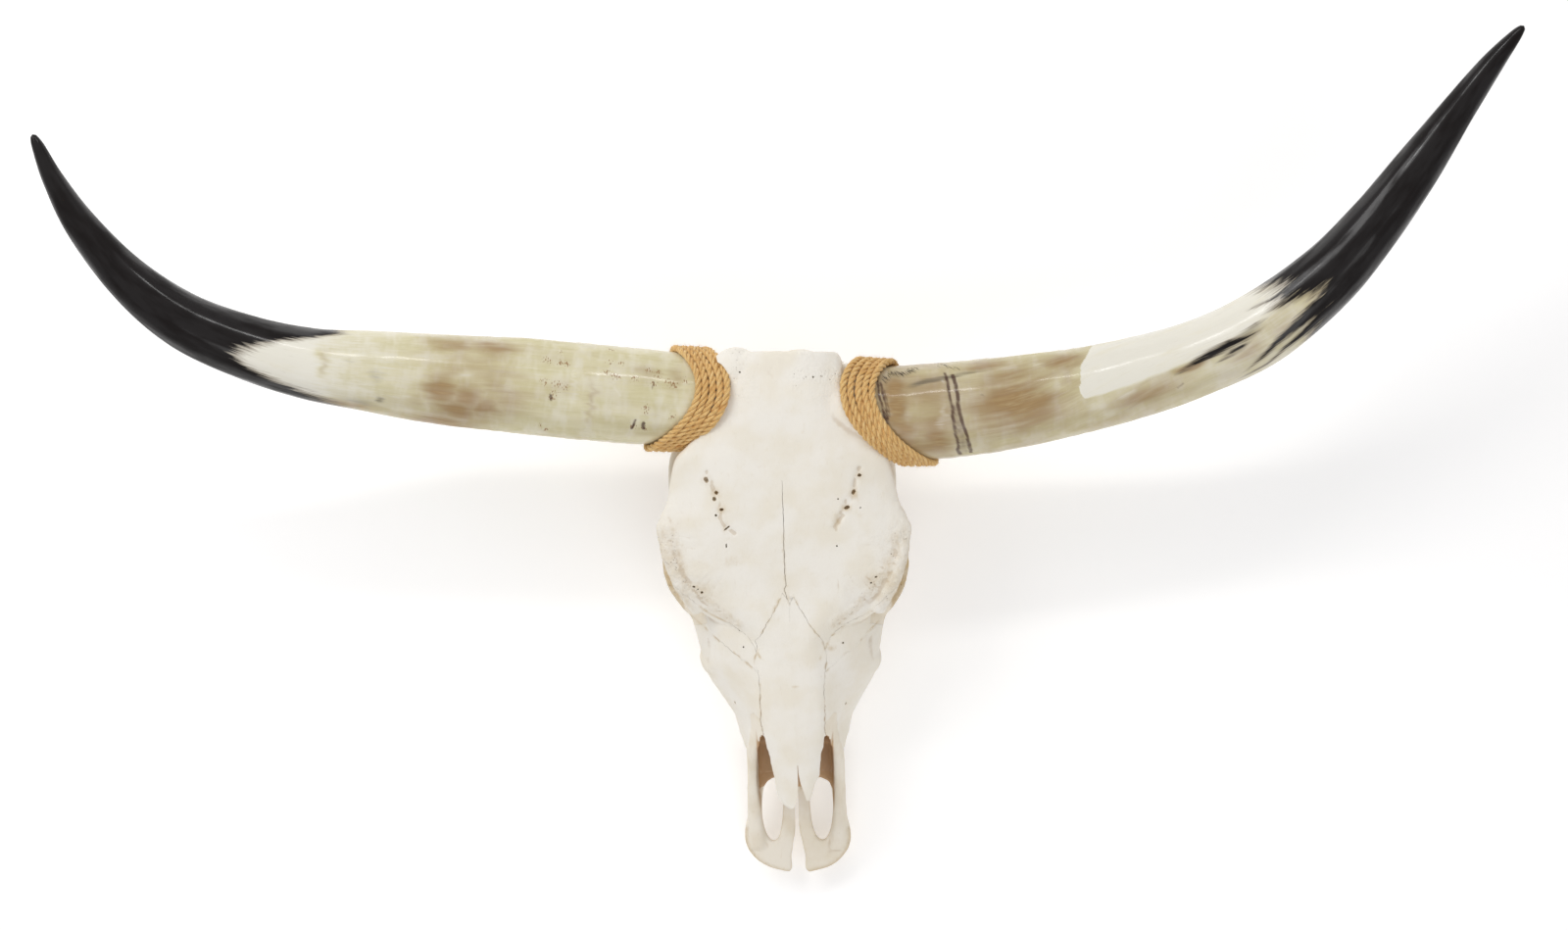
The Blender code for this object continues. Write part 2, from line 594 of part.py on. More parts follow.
def cheek_region(side, grow):
    """Room of a maxilla, or of both: before the back of the last molar, below the lacrimal's front."""
    low_x, high_x = across(side, 130.0, grow)
    rings = []
    for s in (MAXILLA_TOP[0][0] - grow, 264, 273, 282, 290, 298, 303, 308, 314, 470):
        high = float(curve_value(MAXILLA_TOP, s)) + grow
        corners = ((low_x, -10), (high_x, -10), (high_x, high), (low_x, high))
        rings.append(place([(x, s, z) for x, z in corners]))
    return loft(rings)


def lacrimal_region(side, grow):
    return plan_region(side, LACRIMAL, LACRIMAL_LOW, 190, grow)


def zygomatic_region(side, grow):
    return plan_region(side, ZYGOMATIC, ZYGOMATIC_LOW, ZYGOMATIC_HIGH, grow)


# each bone, its region, and whether the pair meets at the midline
REGIONS = (("nasal", nasal_region, True), ("premaxilla", front_region, True),
           ("lacrimal", lacrimal_region, False), ("zygomatic", zygomatic_region, False),
           ("maxilla", cheek_region, True))


def part_bones(skull):
    """Cut the skull into bones with thin gaps along their sutures; what is left is the cranium."""
    bones = {}
    for kind, region, joined_pair in REGIONS:
        for side, hand in ((-1, "right"), (1, "left")):
            bone = add_object(f"{kind}_{hand}", skull.data.copy(), BONES)
            boolean(bone, region(side, 0.0), "INTERSECT")
            keep_largest(bone)
            bones[bone.name] = bone
        for side in (0,) if joined_pair else (-1, 1):
            boolean(skull, region(side, GAP), "DIFFERENCE")
    bones["cranium"] = add_object("cranium", skull.data, BONES)
    keep_largest(bones["cranium"])
    remove(skull)
    return bones


# ---- horns and ropes ----

def horn_axis(stations, away):
    """Centre and radius of the horn or its core at a distance from the midline."""
    x, s, z, r = np.array(stations[:5], float).T
    middle_s, height, radius = (np.interp(away, np.abs(x), v) for v in (s, z, r))
    return middle_s, height, radius + HORN_FLARE * np.clip(FLARE_WITHIN - away, 0, None)


def winding_line(wave, angle):
    """Distance of the winding's middle from the midline, at an angle round the horn from its top."""
    mean, c1, s1, c2 = wave
    return mean + c1 * np.cos(angle) + s1 * np.sin(angle) + c2 * np.cos(2 * angle)


def horn_point(stations, away, angle, radius):
    """Point at an angle round the horn's axis and at a distance from it."""
    side = 1 if stations[0][0] > 0 else -1
    s, z, _ = horn_axis(stations, away)
    return side * away, s + radius * np.sin(angle), z + radius * np.cos(angle)


def saddle_block(stations, wave, shift, far):
    """Solid on one side of the line where sheath meets bone, a saddle under the middle of the rope."""
    angles = np.linspace(0, 2 * math.pi, RIM_ANGLES, endpoint=False)
    rings = []
    for radius in SADDLE_RADII:
        share = min(1.0, radius / SADDLE_RADII[2])
        away = wave[0] + shift + (winding_line(wave, angles) - wave[0]) * share
        rings.append([horn_point(stations, a, t, radius) for a, t in zip(away, angles)])
    rings.append([horn_point(stations, far, t, SADDLE_RADII[-1]) for t in angles])
    return loft([place(ring, False) for ring in rings])


def horn(name, stations, wave):
    """Horn sheath, its rim fitted to the bone under the rope."""
    sheath = tube(stations, skull=False, resolution=HORN_FLAT_EDGES, count=HORN_RINGS)
    made = add_object(name, sheath, BONES)
    boolean(made, saddle_block(stations, wave, 0.0, SADDLE_INNER), "DIFFERENCE")
    return made


def rope(name, stations, wave):
    """One winding: turns side by side round the core's end and the sheath's rim, its ends underneath."""
    count = ROPE_TURNS * ROPE_POINTS_A_TURN + 1
    turns = np.linspace(0, ROPE_TURNS, count)
    angle = 2 * math.pi * turns - math.pi
    away = winding_line(wave, angle) + (turns - ROPE_TURNS / 2) * ROPE_PITCH
    _, _, r = horn_axis(stations, away)
    path = horn_point(stations, away, angle, r + ROPE_D / 2 + ROPE_LIFT)
    p = np.column_stack([*path, np.full(count, ROPE_D / 2)])
    return add_object(name, tube(p, skull=False, resolution=1, count=count), BONES)


def rope_bed(stations, wave):
    """Room under and round the winding, as a thick ring cut from the bone."""
    wide = 0.5 * ROPE_PITCH * (ROPE_TURNS + 1) + 1.0
    bm = bmesh.new()
    rings = []
    for angle in np.linspace(0, 2 * math.pi, RIM_ANGLES, endpoint=False):
        ring = []
        for edge, out in ((-wide, 0), (wide, 0), (wide, BED_DEPTH), (-wide, BED_DEPTH)):
            away = winding_line(wave, angle) + edge
            _, _, r = horn_axis(stations, away)
            ring.append(horn_point(stations, away, angle, r + out - ROPE_BED))
        rings.append([bm.verts.new(p) for p in place(ring, False)])
    for a, b in zip(rings, rings[1:] + rings[:1]):
        for i in range(4):
            j = (i + 1) % 4
            bm.faces.new((a[i], a[j], b[j], b[i]))
    bmesh.ops.recalc_face_normals(bm, faces=bm.faces)
    mesh = bpy.data.meshes.new("bed")
    bm.to_mesh(mesh)
    bm.free()
    return mesh


def material(name):
    kind = name.split("_")[0]
    made = bpy.data.materials.new(name)
    made.use_nodes = True
    shader = made.node_tree.nodes["Principled BSDF"]
    shader.inputs["Base Color"].default_value = (*COLOURS[kind], 1.0)
    shader.inputs["Roughness"].default_value = ROUGHNESS.get(kind, 0.7)
    shader.inputs["Metallic"].default_value = 0.0
    return made


for old in list(bpy.data.objects):
    bpy.data.objects.remove(old, do_unlink=True)

BONES = collection("longhorn_steer_skull")
GUIDES = collection("cutters")

whole = build_skull()
under_floor = prism(((-ROOM, -ROOM), (ROOM, -ROOM), (ROOM, 3 * ROOM), (-ROOM, 3 * ROOM)), -ROOM, 0)
boolean(whole, under_floor, "DIFFERENCE")
SIDES = (("right", HORN_OF_RIGHT, ROPE_OF_RIGHT), ("left", HORN_OF_LEFT, ROPE_OF_LEFT))
for _, horn_stations, rope_wave in SIDES:
    beyond = saddle_block(horn_stations, rope_wave, -2 * GAP, SADDLE_OUTER)
    boolean(whole, beyond, "DIFFERENCE")
    boolean(whole, rope_bed(horn_stations, rope_wave), "DIFFERENCE")
made_bones = part_bones(whole)
for hand, horn_stations, rope_wave in SIDES:
    made_bones[f"horn_{hand}"] = horn(f"horn_{hand}", horn_stations, rope_wave)
    made_bones[f"rope_{hand}"] = rope(f"rope_{hand}", horn_stations, rope_wave)
for bone_name, bone_object in made_bones.items():
    bone_object.data.materials.clear()
    bone_object.data.materials.append(material(bone_name))
    bone_object.data.shade_smooth()
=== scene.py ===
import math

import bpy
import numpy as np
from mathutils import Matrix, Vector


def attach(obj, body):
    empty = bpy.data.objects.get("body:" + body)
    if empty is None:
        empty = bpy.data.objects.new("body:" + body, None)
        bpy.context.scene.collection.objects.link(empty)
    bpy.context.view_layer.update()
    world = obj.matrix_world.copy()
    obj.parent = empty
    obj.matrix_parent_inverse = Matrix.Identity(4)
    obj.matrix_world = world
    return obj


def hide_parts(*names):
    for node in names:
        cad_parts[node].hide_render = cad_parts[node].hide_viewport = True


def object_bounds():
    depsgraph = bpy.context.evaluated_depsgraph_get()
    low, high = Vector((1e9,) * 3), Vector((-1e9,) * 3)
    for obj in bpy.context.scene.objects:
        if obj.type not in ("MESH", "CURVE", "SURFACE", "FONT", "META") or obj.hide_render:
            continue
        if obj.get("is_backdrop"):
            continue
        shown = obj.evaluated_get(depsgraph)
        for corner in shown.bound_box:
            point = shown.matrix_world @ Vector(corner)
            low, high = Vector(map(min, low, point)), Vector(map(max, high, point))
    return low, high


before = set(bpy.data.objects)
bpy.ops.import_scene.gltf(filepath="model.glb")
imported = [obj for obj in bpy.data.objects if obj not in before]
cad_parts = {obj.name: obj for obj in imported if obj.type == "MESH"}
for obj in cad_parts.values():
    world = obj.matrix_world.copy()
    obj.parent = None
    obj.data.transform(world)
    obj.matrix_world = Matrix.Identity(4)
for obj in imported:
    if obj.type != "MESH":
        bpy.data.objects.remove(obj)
cad_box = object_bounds()

# Longhorn steer skull, palate down on a pale floor, seen from straight above.  The skull's own
# frame is in millimetres: x from the midline (minus is the animal's right), s forward from the
# poll, z above the floor.  In the model, forward is -Y and lengths are metres.

# ---- Camera -------------------------------------------------------------------------------
# The photo shows the skull face on.  Lying on its teeth it shows the same face upward, so the
# camera looks straight down on it from 2.86 m, turned by the photo's small tilt.

CAMERA_LENS, CAMERA_SENSOR = 64.0, 36.0
CAMERA_PLACE = (-0.0052, 0.01263, 2.862)
CAMERA_ROLL = math.radians(-1.72)

camera_data = bpy.data.cameras.new("camera")
camera_data.lens = CAMERA_LENS
camera_data.sensor_width = CAMERA_SENSOR
camera = bpy.data.objects.new("camera", camera_data)
camera.location = CAMERA_PLACE
camera.rotation_euler = (0, 0, CAMERA_ROLL)
bpy.context.scene.collection.objects.link(camera)
bpy.context.scene.camera = camera

# ---- Floor and light ----------------------------------------------------------------------
# A pale studio sweep, lit by a soft box from the photo's upper left, a thin one that draws the
# bright lines along the horns, a broad one from the photo's lower edge, and an even pale room.


def linear(colour):
    """Linear RGBA of an sRGB hex colour."""
    c = np.array([int(colour[i:i + 2], 16) for i in (1, 3, 5)]) / 255
    c = np.where(c <= 0.04045, c / 12.92, ((c + 0.055) / 1.055)**2.4)
    return (*c.tolist(), 1.0)


def node(tree, kind, out, at=None, **sockets):
    """One shader node: its settings by name, and its inputs as values or as other nodes' outputs.  Returns
    the output of that name or number."""
    made = tree.nodes.new("ShaderNode" + kind)
    for name, value in (at or {}).items():
        setattr(made, name, value)
    for name, value in sockets.items():
        key = int(name[1:]) if name[0] == "i" and name[1:].isdigit() else name.replace("_", " ")
        if isinstance(value, bpy.types.NodeSocket):
            tree.links.new(value, made.inputs[key])
        else:
            made.inputs[key].default_value = value
    return made.outputs[out]


def new_material(name, **settings):
    """A material and the inputs of its Principled shader, the constant ones set."""
    made = bpy.data.materials.new(name)
    made.use_nodes = True
    inputs = made.node_tree.nodes["Principled BSDF"].inputs
    for title, value in settings.items():
        inputs[title.replace("_", " ")].default_value = value
    return made, inputs


def add_mesh(name, points, corners, sizes):
    """An object from an (n, 3) array of points in metres, the faces' corner numbers one after another and
    the number of corners of each face."""
    data = bpy.data.meshes.new(name)
    data.vertices.add(len(points))
    data.vertices.foreach_set("co", np.asarray(points, np.float32).ravel())
    data.loops.add(len(corners))
    data.loops.foreach_set("vertex_index", np.asarray(corners, np.int32))
    data.polygons.add(len(sizes))
    data.polygons.foreach_set("loop_start", np.r_[0, np.cumsum(sizes)[:-1]].astype(np.int32))
    data.update(calc_edges=True)
    data.validate()
    data.shade_smooth()
    made = bpy.data.objects.new(name, data)
    bpy.context.scene.collection.objects.link(made)
    return made


FLOOR_HALF, FLOOR_DROP = 9.0, 0.0002
floor = add_mesh("floor", np.array([(-1, -1, 0), (1, -1, 0), (1, 1, 0), (-1, 1, 0)]) * FLOOR_HALF
                 - (0, 0, FLOOR_DROP), [0, 1, 2, 3], [4])
floor_paint, _ = new_material("matt_white_sweep", Base_Color=linear("#F4F3F1"), Roughness=0.9,
                              Emission_Color=linear("#FFFFFF"), Emission_Strength=0.26)
floor.data.materials.append(floor_paint)
floor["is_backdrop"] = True

world = bpy.data.worlds.new("pale_room")
world.use_nodes = True
background = world.node_tree.nodes["Background"].inputs
background["Color"].default_value, background["Strength"].default_value = linear("#FBFBFF"), 0.46
bpy.context.scene.world = world
bpy.context.scene.view_settings.view_transform = "Standard"

for name, place_at, aim, size, power in (
        ("key", (-1.7, 1.5, 1.9), (0, 0, 0.1), (1.5, 1.5), 26.0),
        ("strip", (-0.12, 1.5, 1.65), (0, 0.1, 0.2), (1.7, 0.16), 9.5),
        ("fill", (0.4, -1.7, 1.9), (0, 0, 0.1), (2.2, 2.2), 21.0)):
    lamp_data = bpy.data.lights.new(name, "AREA")
    lamp_data.shape = "RECTANGLE"
    lamp_data.size, lamp_data.size_y = size
    lamp_data.energy = power
    lamp = bpy.data.objects.new(name, lamp_data)
    lamp.location = place_at
    toward = np.array(aim) - place_at
    lamp.rotation_euler = (math.atan2(math.hypot(*toward[:2]), -toward[2]), 0,
                           math.atan2(toward[1], toward[0]) - math.pi / 2)
    bpy.context.scene.collection.objects.link(lamp)

# ---- The skull as one form ----------------------------------------------------------------
# The bones of a grown skull run into one another, so it is formed whole: shells lofted along
# the skull, bars for the rims and processes and blocks for the teeth are melted into one skin,
# and the orbits, the nose and the other openings are cut from it.

X_MIDLINE, Y_POLL = -3.8, 122.6
SKEW = 0.026                       # the left half grew slightly ahead of the right half
BOW_BACK, BOW_FRONT = -3.3, 1.4    # sideways drift of the midline, forehead and nose
BOW_FROM, BOW_TO = 150.0, 420.0
SKULL_LENGTH = 525.0
GRAIN = 1.5     # of the skin, mm

# outline from above: (s, half width) pairs
FRONTAL_HALF = ((-2, 46), (2, 56), (10, 60), (40, 60), (66, 68), (90, 89), (105, 102), (126, 107),
                (148, 112), (160, 118), (173, 122.5), (181, 121.5), (194, 115), (206, 110),
                (217, 103), (228, 98), (245, 95), (256, 82), (270, 60), (286, 42), (300, 31))
NASAL_HALF = ((236, 3), (250, 16), (268, 28), (284, 33), (330, 32), (375, 30), (398, 25.5),
              (420, 23), (436, 20.5), (448, 16.5))
CREST_HALF = ((236, 80), (256, 84), (267, 85), (280, 83), (296, 84.5), (308, 86), (320, 82),
              (332, 75), (348, 65), (366, 55), (390, 50))
# side view: (s, height) pairs
TOP_HEIGHT = ((-2, 190), (6, 198), (40, 199), (90, 192), (150, 179), (200, 165), (236, 155),
              (284, 146), (330, 136), (375, 124), (410, 113), (448, 101))
FRONTAL_EDGE = ((-2, 182), (40, 189), (72, 187), (98, 180), (134, 168), (178, 161), (212, 157), (232, 146),
                (248, 132), (262, 128), (286, 131), (300, 132))
FRONTAL_THICK = ((-2, 12), (12, 36), (40, 46), (120, 34), (168, 22), (212, 15), (246, 22), (300, 22))
CREST_HEIGHT = ((236, 112), (264, 104), (284, 94), (308, 84), (332, 74), (366, 66), (390, 62))
GUM_HALF = ((236, 46), (262, 64), (300, 69), (330, 67), (360, 60), (390, 51))
GUM_HEIGHT, PALATE_HEIGHT = 25.0, 36.0

# cheek teeth: (length along the jaw, width), from the front premolar to the last molar
TEETH = ((13, 12), (17, 16), (18, 18), (23, 22), (28, 23), (30, 21))
TOOTH_ROW_FRONT, TOOTH_GAP = 398.0, 0.8
TOOTH_LINE = ((262, 57), (300, 58.5), (330, 56), (360, 51), (400, 44))

NOSE_BACK, NASAL_THICK = 336.0, 6.0
PREMAX_OUTER = ((418, 47), (440, 50), (464, 50), (474, 52.3), (480, 53.3), (489, 53.8), (499, 51.5),
                (507, 46.5), (515, 38), (520, 29), (524, 14), (525, 9))
PREMAX_INNER = ((418, 0.3), (445, 0.8), (456, 1.7), (470, 1.8), (484, 2.5), (492, 4.2), (500, 5.3),
                (509, 6.8), (520, 6.3), (524, 9))
PREMAX_Z = (18.0, 31.0)
# openings of the front as (x, s) outlines: palatine fissures, nostrils and the split of the nasal tips
FISSURES = (((-22, 426), (-31, 433), (-34.9, 447), (-35.7, 466), (-33.4, 481), (-29, 490), (-24.5, 492.5),
             (-20, 489.5), (-16.5, 479), (-14.3, 463), (-14, 446), (-16, 432)),
            ((25, 426), (34, 432), (36.6, 447), (36.6, 462), (34, 480), (29, 490), (24, 492), (18.5, 487),
             (14.6, 473), (13.2, 455), (14, 440), (17.5, 429)))
NOSTRILS = (((-30.6, 371), (-28.7, 383), (-26.7, 395), (-24.2, 408), (-21.7, 419), (-19.6, 436),
             (-15, 445), (-10.5, 449.3), (-5.2, 451.5), (-5, 470), (-37, 470), (-39.2, 440), (-39.4, 425),
             (-38.8, 410), (-37.3, 395), (-34.4, 382)),
            ((30, 372), (28.2, 390), (26.2, 405), (24.8, 415.4), (18.7, 425.4), (14.5, 439.5), (12, 443.6),
             (12, 470), (37, 470), (38, 440), (38.1, 425.5), (37.8, 410), (37, 395), (34, 382)))
NASAL_TIPS = ((1.5, 406.5), (1.6, 425), (0.6, 439.5), (-3, 449.5), (-7, 452), (-8, 470), (14, 470),
              (14, 443.4), (9.5, 442.6), (6.9, 433.4), (4.2, 425.4), (2.4, 415.3), (2, 406.5))
NOSTRIL_ROOM, FISSURE_ROOM = (60, 160), (8, 48)      # lowest and highest
FORAMEN_MAGNUM, THROAT = ((0, 4, 60), (17, 42, 14)), ((0, 236, 30), (15, 42, 20))    # centre and half axes
ORBIT_CENTRE, ORBIT_RADII = (113.0, 207.0, 127.0), (56.0, 31.0, 25.0)
ORBIT_TURN, ORBIT_TILT = -12.0, -4.0

# horns: (x, s, z, radius) stations from the base to the tip
HORN_OF_LEFT = ((50, 56, 149, 44.5), (105, 62, 150, 45.5), (152, 62, 152, 46.8), (200, 58, 154, 45.6),
                (260, 51, 158, 42.9), (330, 38, 166, 39.6), (400, 19, 179, 36.6), (460, -8, 194, 35.6),
                (518, -52, 214, 31.3), (561, -99, 231, 26.6), (600, -150, 246, 22.4),
                (637, -202, 260, 15.9), (667, -242, 270, 10.9), (688, -267, 277, 6.0),
                (696, -276, 280, 2.4))
HORN_OF_RIGHT = ((-50, 46, 149, 44), (-104, 42, 150, 44.8), (-152, 38, 152, 47.0), (-200, 32, 155, 46.7),
                 (-260, 25, 160, 46.2), (-325, 18, 168, 43.9), (-390, 9, 182, 39.4),
                 (-450, 0, 198, 34.3), (-507, -17, 215, 30.5), (-563, -43, 232, 26.8),
                 (-611, -83, 247, 21.2), (-649, -132, 261, 15.6), (-672, -175, 271, 10.0),
                 (-684, -206, 277, 5.8), (-688, -217, 280, 2.4))
CORE_START = (24.0, 50.0, 149.0, 46.0)
# distance of the winding's middle from the midline: mean, cos, sin, cos 2 of the angle round the horn
ROPE_OF_LEFT = (101.0, -17.0, 17.0, -10.0)
ROPE_OF_RIGHT = (94.0, -15.0, 13.0, -10.0)
HORNS = (("right", HORN_OF_RIGHT, ROPE_OF_RIGHT), ("left", HORN_OF_LEFT, ROPE_OF_LEFT))
HANDS = ((-1, "right"), (1, "left"))
HORN_FLARE, FLARE_WITHIN = 0.10, 78.0
ROPE_PITCH, ROPE_TURNS = 6.9, 5
# where sheath meets bone: points round it, radii of its rings, place along the horn, and reach beyond it
SADDLE_AROUND, SADDLE_RINGS, SADDLE_SHIFT, SADDLE_REACH = 72, (0.5, 24.0, 47.0, 62.0), -0.6, 230.0
BED_AROUND = 144                   # points round the bed that is cut for each rope


def along(pairs, s):
    """Smooth value at s of a curve through (s, value) pairs, never overshooting between them."""
    xs, ys = np.array(pairs, float).T
    step = np.diff(ys) / np.diff(xs)
    slope = np.zeros(len(xs))
    slope[0], slope[-1] = step[0], step[-1]
    same = step[:-1] * step[1:] > 0
    slope[1:-1][same] = 2 * step[:-1][same] * step[1:][same] / (step[:-1] + step[1:])[same]
    s = np.clip(np.asarray(s, float), xs[0], xs[-1])
    i = np.clip(np.searchsorted(xs, s, side="right") - 1, 0, len(xs) - 2)
    h = xs[i + 1] - xs[i]
    t = (s - xs[i]) / h
    return ((2 * t**3 - 3 * t**2 + 1) * ys[i] + (t**3 - 2 * t**2 + t) * h * slope[i]
            + (3 * t**2 - 2 * t**3) * ys[i + 1] + (t**3 - t**2) * h * slope[i + 1])


def fade(low, high, value):
    """0 below low, 1 above high and smooth between."""
    t = np.clip((value - low) / (high - low), 0, 1)
    return t * t * (3 - 2 * t)


def bow(s):
    """Sideways drift of the midline, mm."""
    return BOW_BACK + (BOW_FRONT - BOW_BACK) * fade(BOW_FROM, BOW_TO, s)


def place(points, skull=True):
    """Model coordinates in metres of (x, s, z) points in millimetres, of any array shape."""
    p = np.asarray(points, float)
    x, s, z = p[..., 0], p[..., 1], p[..., 2]
    if skull:
        x, s = x + bow(s), s + SKEW * x
    return np.stack([X_MIDLINE + x, Y_POLL - s, z], -1) * 0.001


def skull_frame(points):
    """The (x, s, z) of model points: place() undone by three rounds of correction."""
    p = np.asarray(points, float) * 1000
    x0, s0 = p[..., 0] - X_MIDLINE, Y_POLL - p[..., 1]
    x, s = x0, s0
    for _ in range(3):
        x, s = x0 - bow(s), s0 - SKEW * x
    return np.stack([x, s, p[..., 2]], -1)


def spline(points, per_span):
    """Catmull-Rom curve along the first axis of an array of control points."""
    p = np.asarray(points, float)
    p = np.concatenate([2 * p[:1] - p[1:2], p, 2 * p[-1:] - p[-2:-1]])
    a, b, c, d = (p[i:len(p) - 3 + i, None] for i in range(4))
    t = np.linspace(0, 1, per_span, endpoint=False).reshape((1, -1) + (1,) * (p.ndim - 1))
    curve = 0.5 * (2 * b + (c - a) * t + (2 * a - 5 * b + 4 * c - d) * t**2
                   + (3 * b - a - 3 * c + d) * t**3)
    return np.concatenate([curve.reshape((-1,) + p.shape[1:]), p[-2:-1]])


def length_along(curve):
    """Distance along a curve at each of its points."""
    return np.r_[0, np.cumsum(np.linalg.norm(np.diff(curve, axis=0), axis=1))]


def circle(count):
    """Angles evenly round a circle, from 0."""
    return np.linspace(0, 2 * math.pi, count, endpoint=False)


def unit(vectors):
    """Vectors of an (n, 3) array, each brought to length one."""
    return vectors / np.linalg.norm(vectors, axis=1)[:, None]


def squared(vectors, ahead):
    """Unit vectors across a path that are nearest to the given ones."""
    return unit(vectors - ahead * np.einsum("ij,ij->i", vectors, ahead)[:, None])


def evenly(curve, count):
    """Points evenly spaced along a curve, by the length of its first three columns."""
    run = length_along(curve[:, :3])
    at = np.linspace(0, run[-1], count)
    return np.stack([np.interp(at, run, column) for column in curve.T], 1)


def skin_over(rings):
    """Closed surface over a grid of rings: quads between neighbours and a flat face at each end, all
    facing outward."""
    count, around = rings.shape[:2]
    index = np.arange(count * around).reshape(count, around)
    a, b = index[:-1], index[1:]
    quads = np.stack([a, np.roll(a, -1, 1), np.roll(b, -1, 1), b], -1).reshape(-1, 4)
    points = rings.reshape(-1, 3)
    p = points[quads] - points.mean(0)
    volume = np.einsum("ij,ij->", np.cross(p[:, 0], p[:, 1]), p[:, 2]) \
        + np.einsum("ij,ij->", np.cross(p[:, 0], p[:, 2]), p[:, 3])
    ends = np.stack([index[0, ::-1], index[-1]])
    if volume < 0:
        quads, ends = quads[:, ::-1], ends[:, ::-1]
    return points, np.r_[quads.ravel(), ends.ravel()], np.r_[np.full(len(quads), 4), around, around]


def together(forms):
    """One set of points and faces from several."""
    points, corners, sizes = zip(*forms)
    start = np.cumsum([0] + [len(p) for p in points])
    return np.vstack(points), np.concatenate([c + k for c, k in zip(corners, start)]), np.concatenate(sizes)


def shell(section, stations, per_span=6):
    """Loft along s through sections that are symmetric about the midline.  A section gives its (x, z)
    control points from top to bottom as functions of s; a smooth curve runs through them and is mirrored."""
    s = np.asarray(stations, float)
    control = np.array([[np.broadcast_to(v, s.shape) for v in point] for point in section(s)])
    half = spline(control.transpose(0, 2, 1), per_span)
    half[[0, -1], :, 0] = 0
    ring = np.concatenate([half, half[-2:0:-1] * (-1, 1)]).transpose(1, 0, 2)
    return skin_over(place(np.stack([ring[..., 0], np.broadcast_to(s[:, None], ring.shape[:2]),
                                     ring[..., 1]], -1)))


def frames(centre):
    """Unit vectors along a path and two across it; the second stands on the plane the path bends in."""
    ahead = unit(np.gradient(centre, axis=0))
    across = unit(np.cross(ahead, np.linalg.svd(centre - centre.mean(0))[2][2]))
    return ahead, across, np.cross(ahead, across)


def bar(stations, skull=True, around=24):
    """Round bar through (x, s, z, radius) stations."""
    p = evenly(spline(stations, 12), 8 * len(stations))
    centre = place(p[:, :3], skull)
    _, across, up = frames(centre)
    angle = circle(around)
    ring = across[:, None] * np.cos(angle)[:, None] + up[:, None] * np.sin(angle)[:, None]
    return skin_over(centre[:, None] + ring * p[:, 3, None, None] * 0.001)


def knob(centre, radii, turn=(0, 0, 0), around=32):
    """Ellipsoid with half axes across, forward and up, turned by degrees about x, y and z in turn."""
    turned = np.eye(3)
    for axis, degrees in enumerate(turn):
        c, n = math.cos(math.radians(degrees)), math.sin(math.radians(degrees))
        i, j = (axis + 1) % 3, (axis + 2) % 3
        step = np.eye(3)
        step[[i, j, i, j], [i, j, j, i]] = c, c, -n, n
        turned = step @ turned
    polar = np.linspace(0, math.pi, around // 2 + 1)[1:-1, None]
    angle = circle(around)[None]
    unit = np.stack([np.sin(polar) * np.cos(angle), np.sin(polar) * np.sin(angle),
                     np.cos(polar) + 0 * angle], -1)
    return skin_over(place(centre) + (unit * radii) @ turned.T * 0.001)


def block(outline, low, high):
    """Upright block over a plan outline of (x, s) points; low and high are heights, of all or of each."""
    pts = np.asarray(outline, float)
    return skin_over(np.stack([place(np.column_stack([pts, np.broadcast_to(h, len(pts))]))
                               for h in (low, high)]))


def roof_section(s):
    """Forehead: broad and nearly flat, its edges overhanging the temples."""
    half, top, edge, thick = (along(c, s) for c in (FRONTAL_HALF, TOP_HEIGHT, FRONTAL_EDGE, FRONTAL_THICK))
    under = thick + along(((-2, 14), (12, 20), (190, 20), (212, 10), (246, 26), (300, 20)), s)
    return ((0, top), (0.45 * half, top - 1), (0.78 * half, 0.45 * top + 0.55 * edge), (half, edge - 3),
            (0.95 * half, edge - 0.6 * thick), (0.6 * half, top - under + 4), (0, top - under - 4))


def face_section(s):
    """Face before the orbits: nose bridge, sloping cheek, crest, gum and palate."""
    top, bridge = along(TOP_HEIGHT, s), np.maximum(24.0, along(NASAL_HALF, s))
    crest, height, gum = (along(c, s) for c in (CREST_HALF, CREST_HEIGHT, GUM_HALF))
    full = along(((236, 12), (284, 9), (330, 3), (390, -1)), s)
    return ((0, top), (0.6 * bridge, top - 2), (bridge, top - 8),
            (0.5 * (bridge + crest) + 2, 0.5 * (top - 8 + height) + full), (crest, height),
            (0.55 * crest + 0.45 * gum, 0.5 * (height + GUM_HEIGHT)), (gum, GUM_HEIGHT),
            (gum - 20, GUM_HEIGHT + 1), (0.4 * gum, PALATE_HEIGHT),
            (0, PALATE_HEIGHT + 1))


def palate_section(s):
    """Roof of the mouth before the teeth: two firm margins with a shallow vault between."""
    half = along(((376, 50), (400, 46), (436, 44)), s)
    low = along(((376, 24), (400, 24), (436, 23)), s)
    return ((0, 41), (0.7 * half, 41), (half, 34), (half - 3, low + 2),
            (0.75 * half, low), (0.5 * half, low + 7), (0, low + 10))


def nose_section(s):
    """Nasal bones as one arched plate that reaches forward over the nostrils."""
    top, half = along(TOP_HEIGHT, s), np.maximum(10.0, along(NASAL_HALF, s))
    drop = 8 * np.minimum(1.0, half / 30)
    return ((0, top), (0.6 * half, top - 0.3 * drop), (half, top - drop), (0.9 * half, top - drop - 4),
            (0.5 * half, top - NASAL_THICK - 1.5), (0, top - NASAL_THICK))


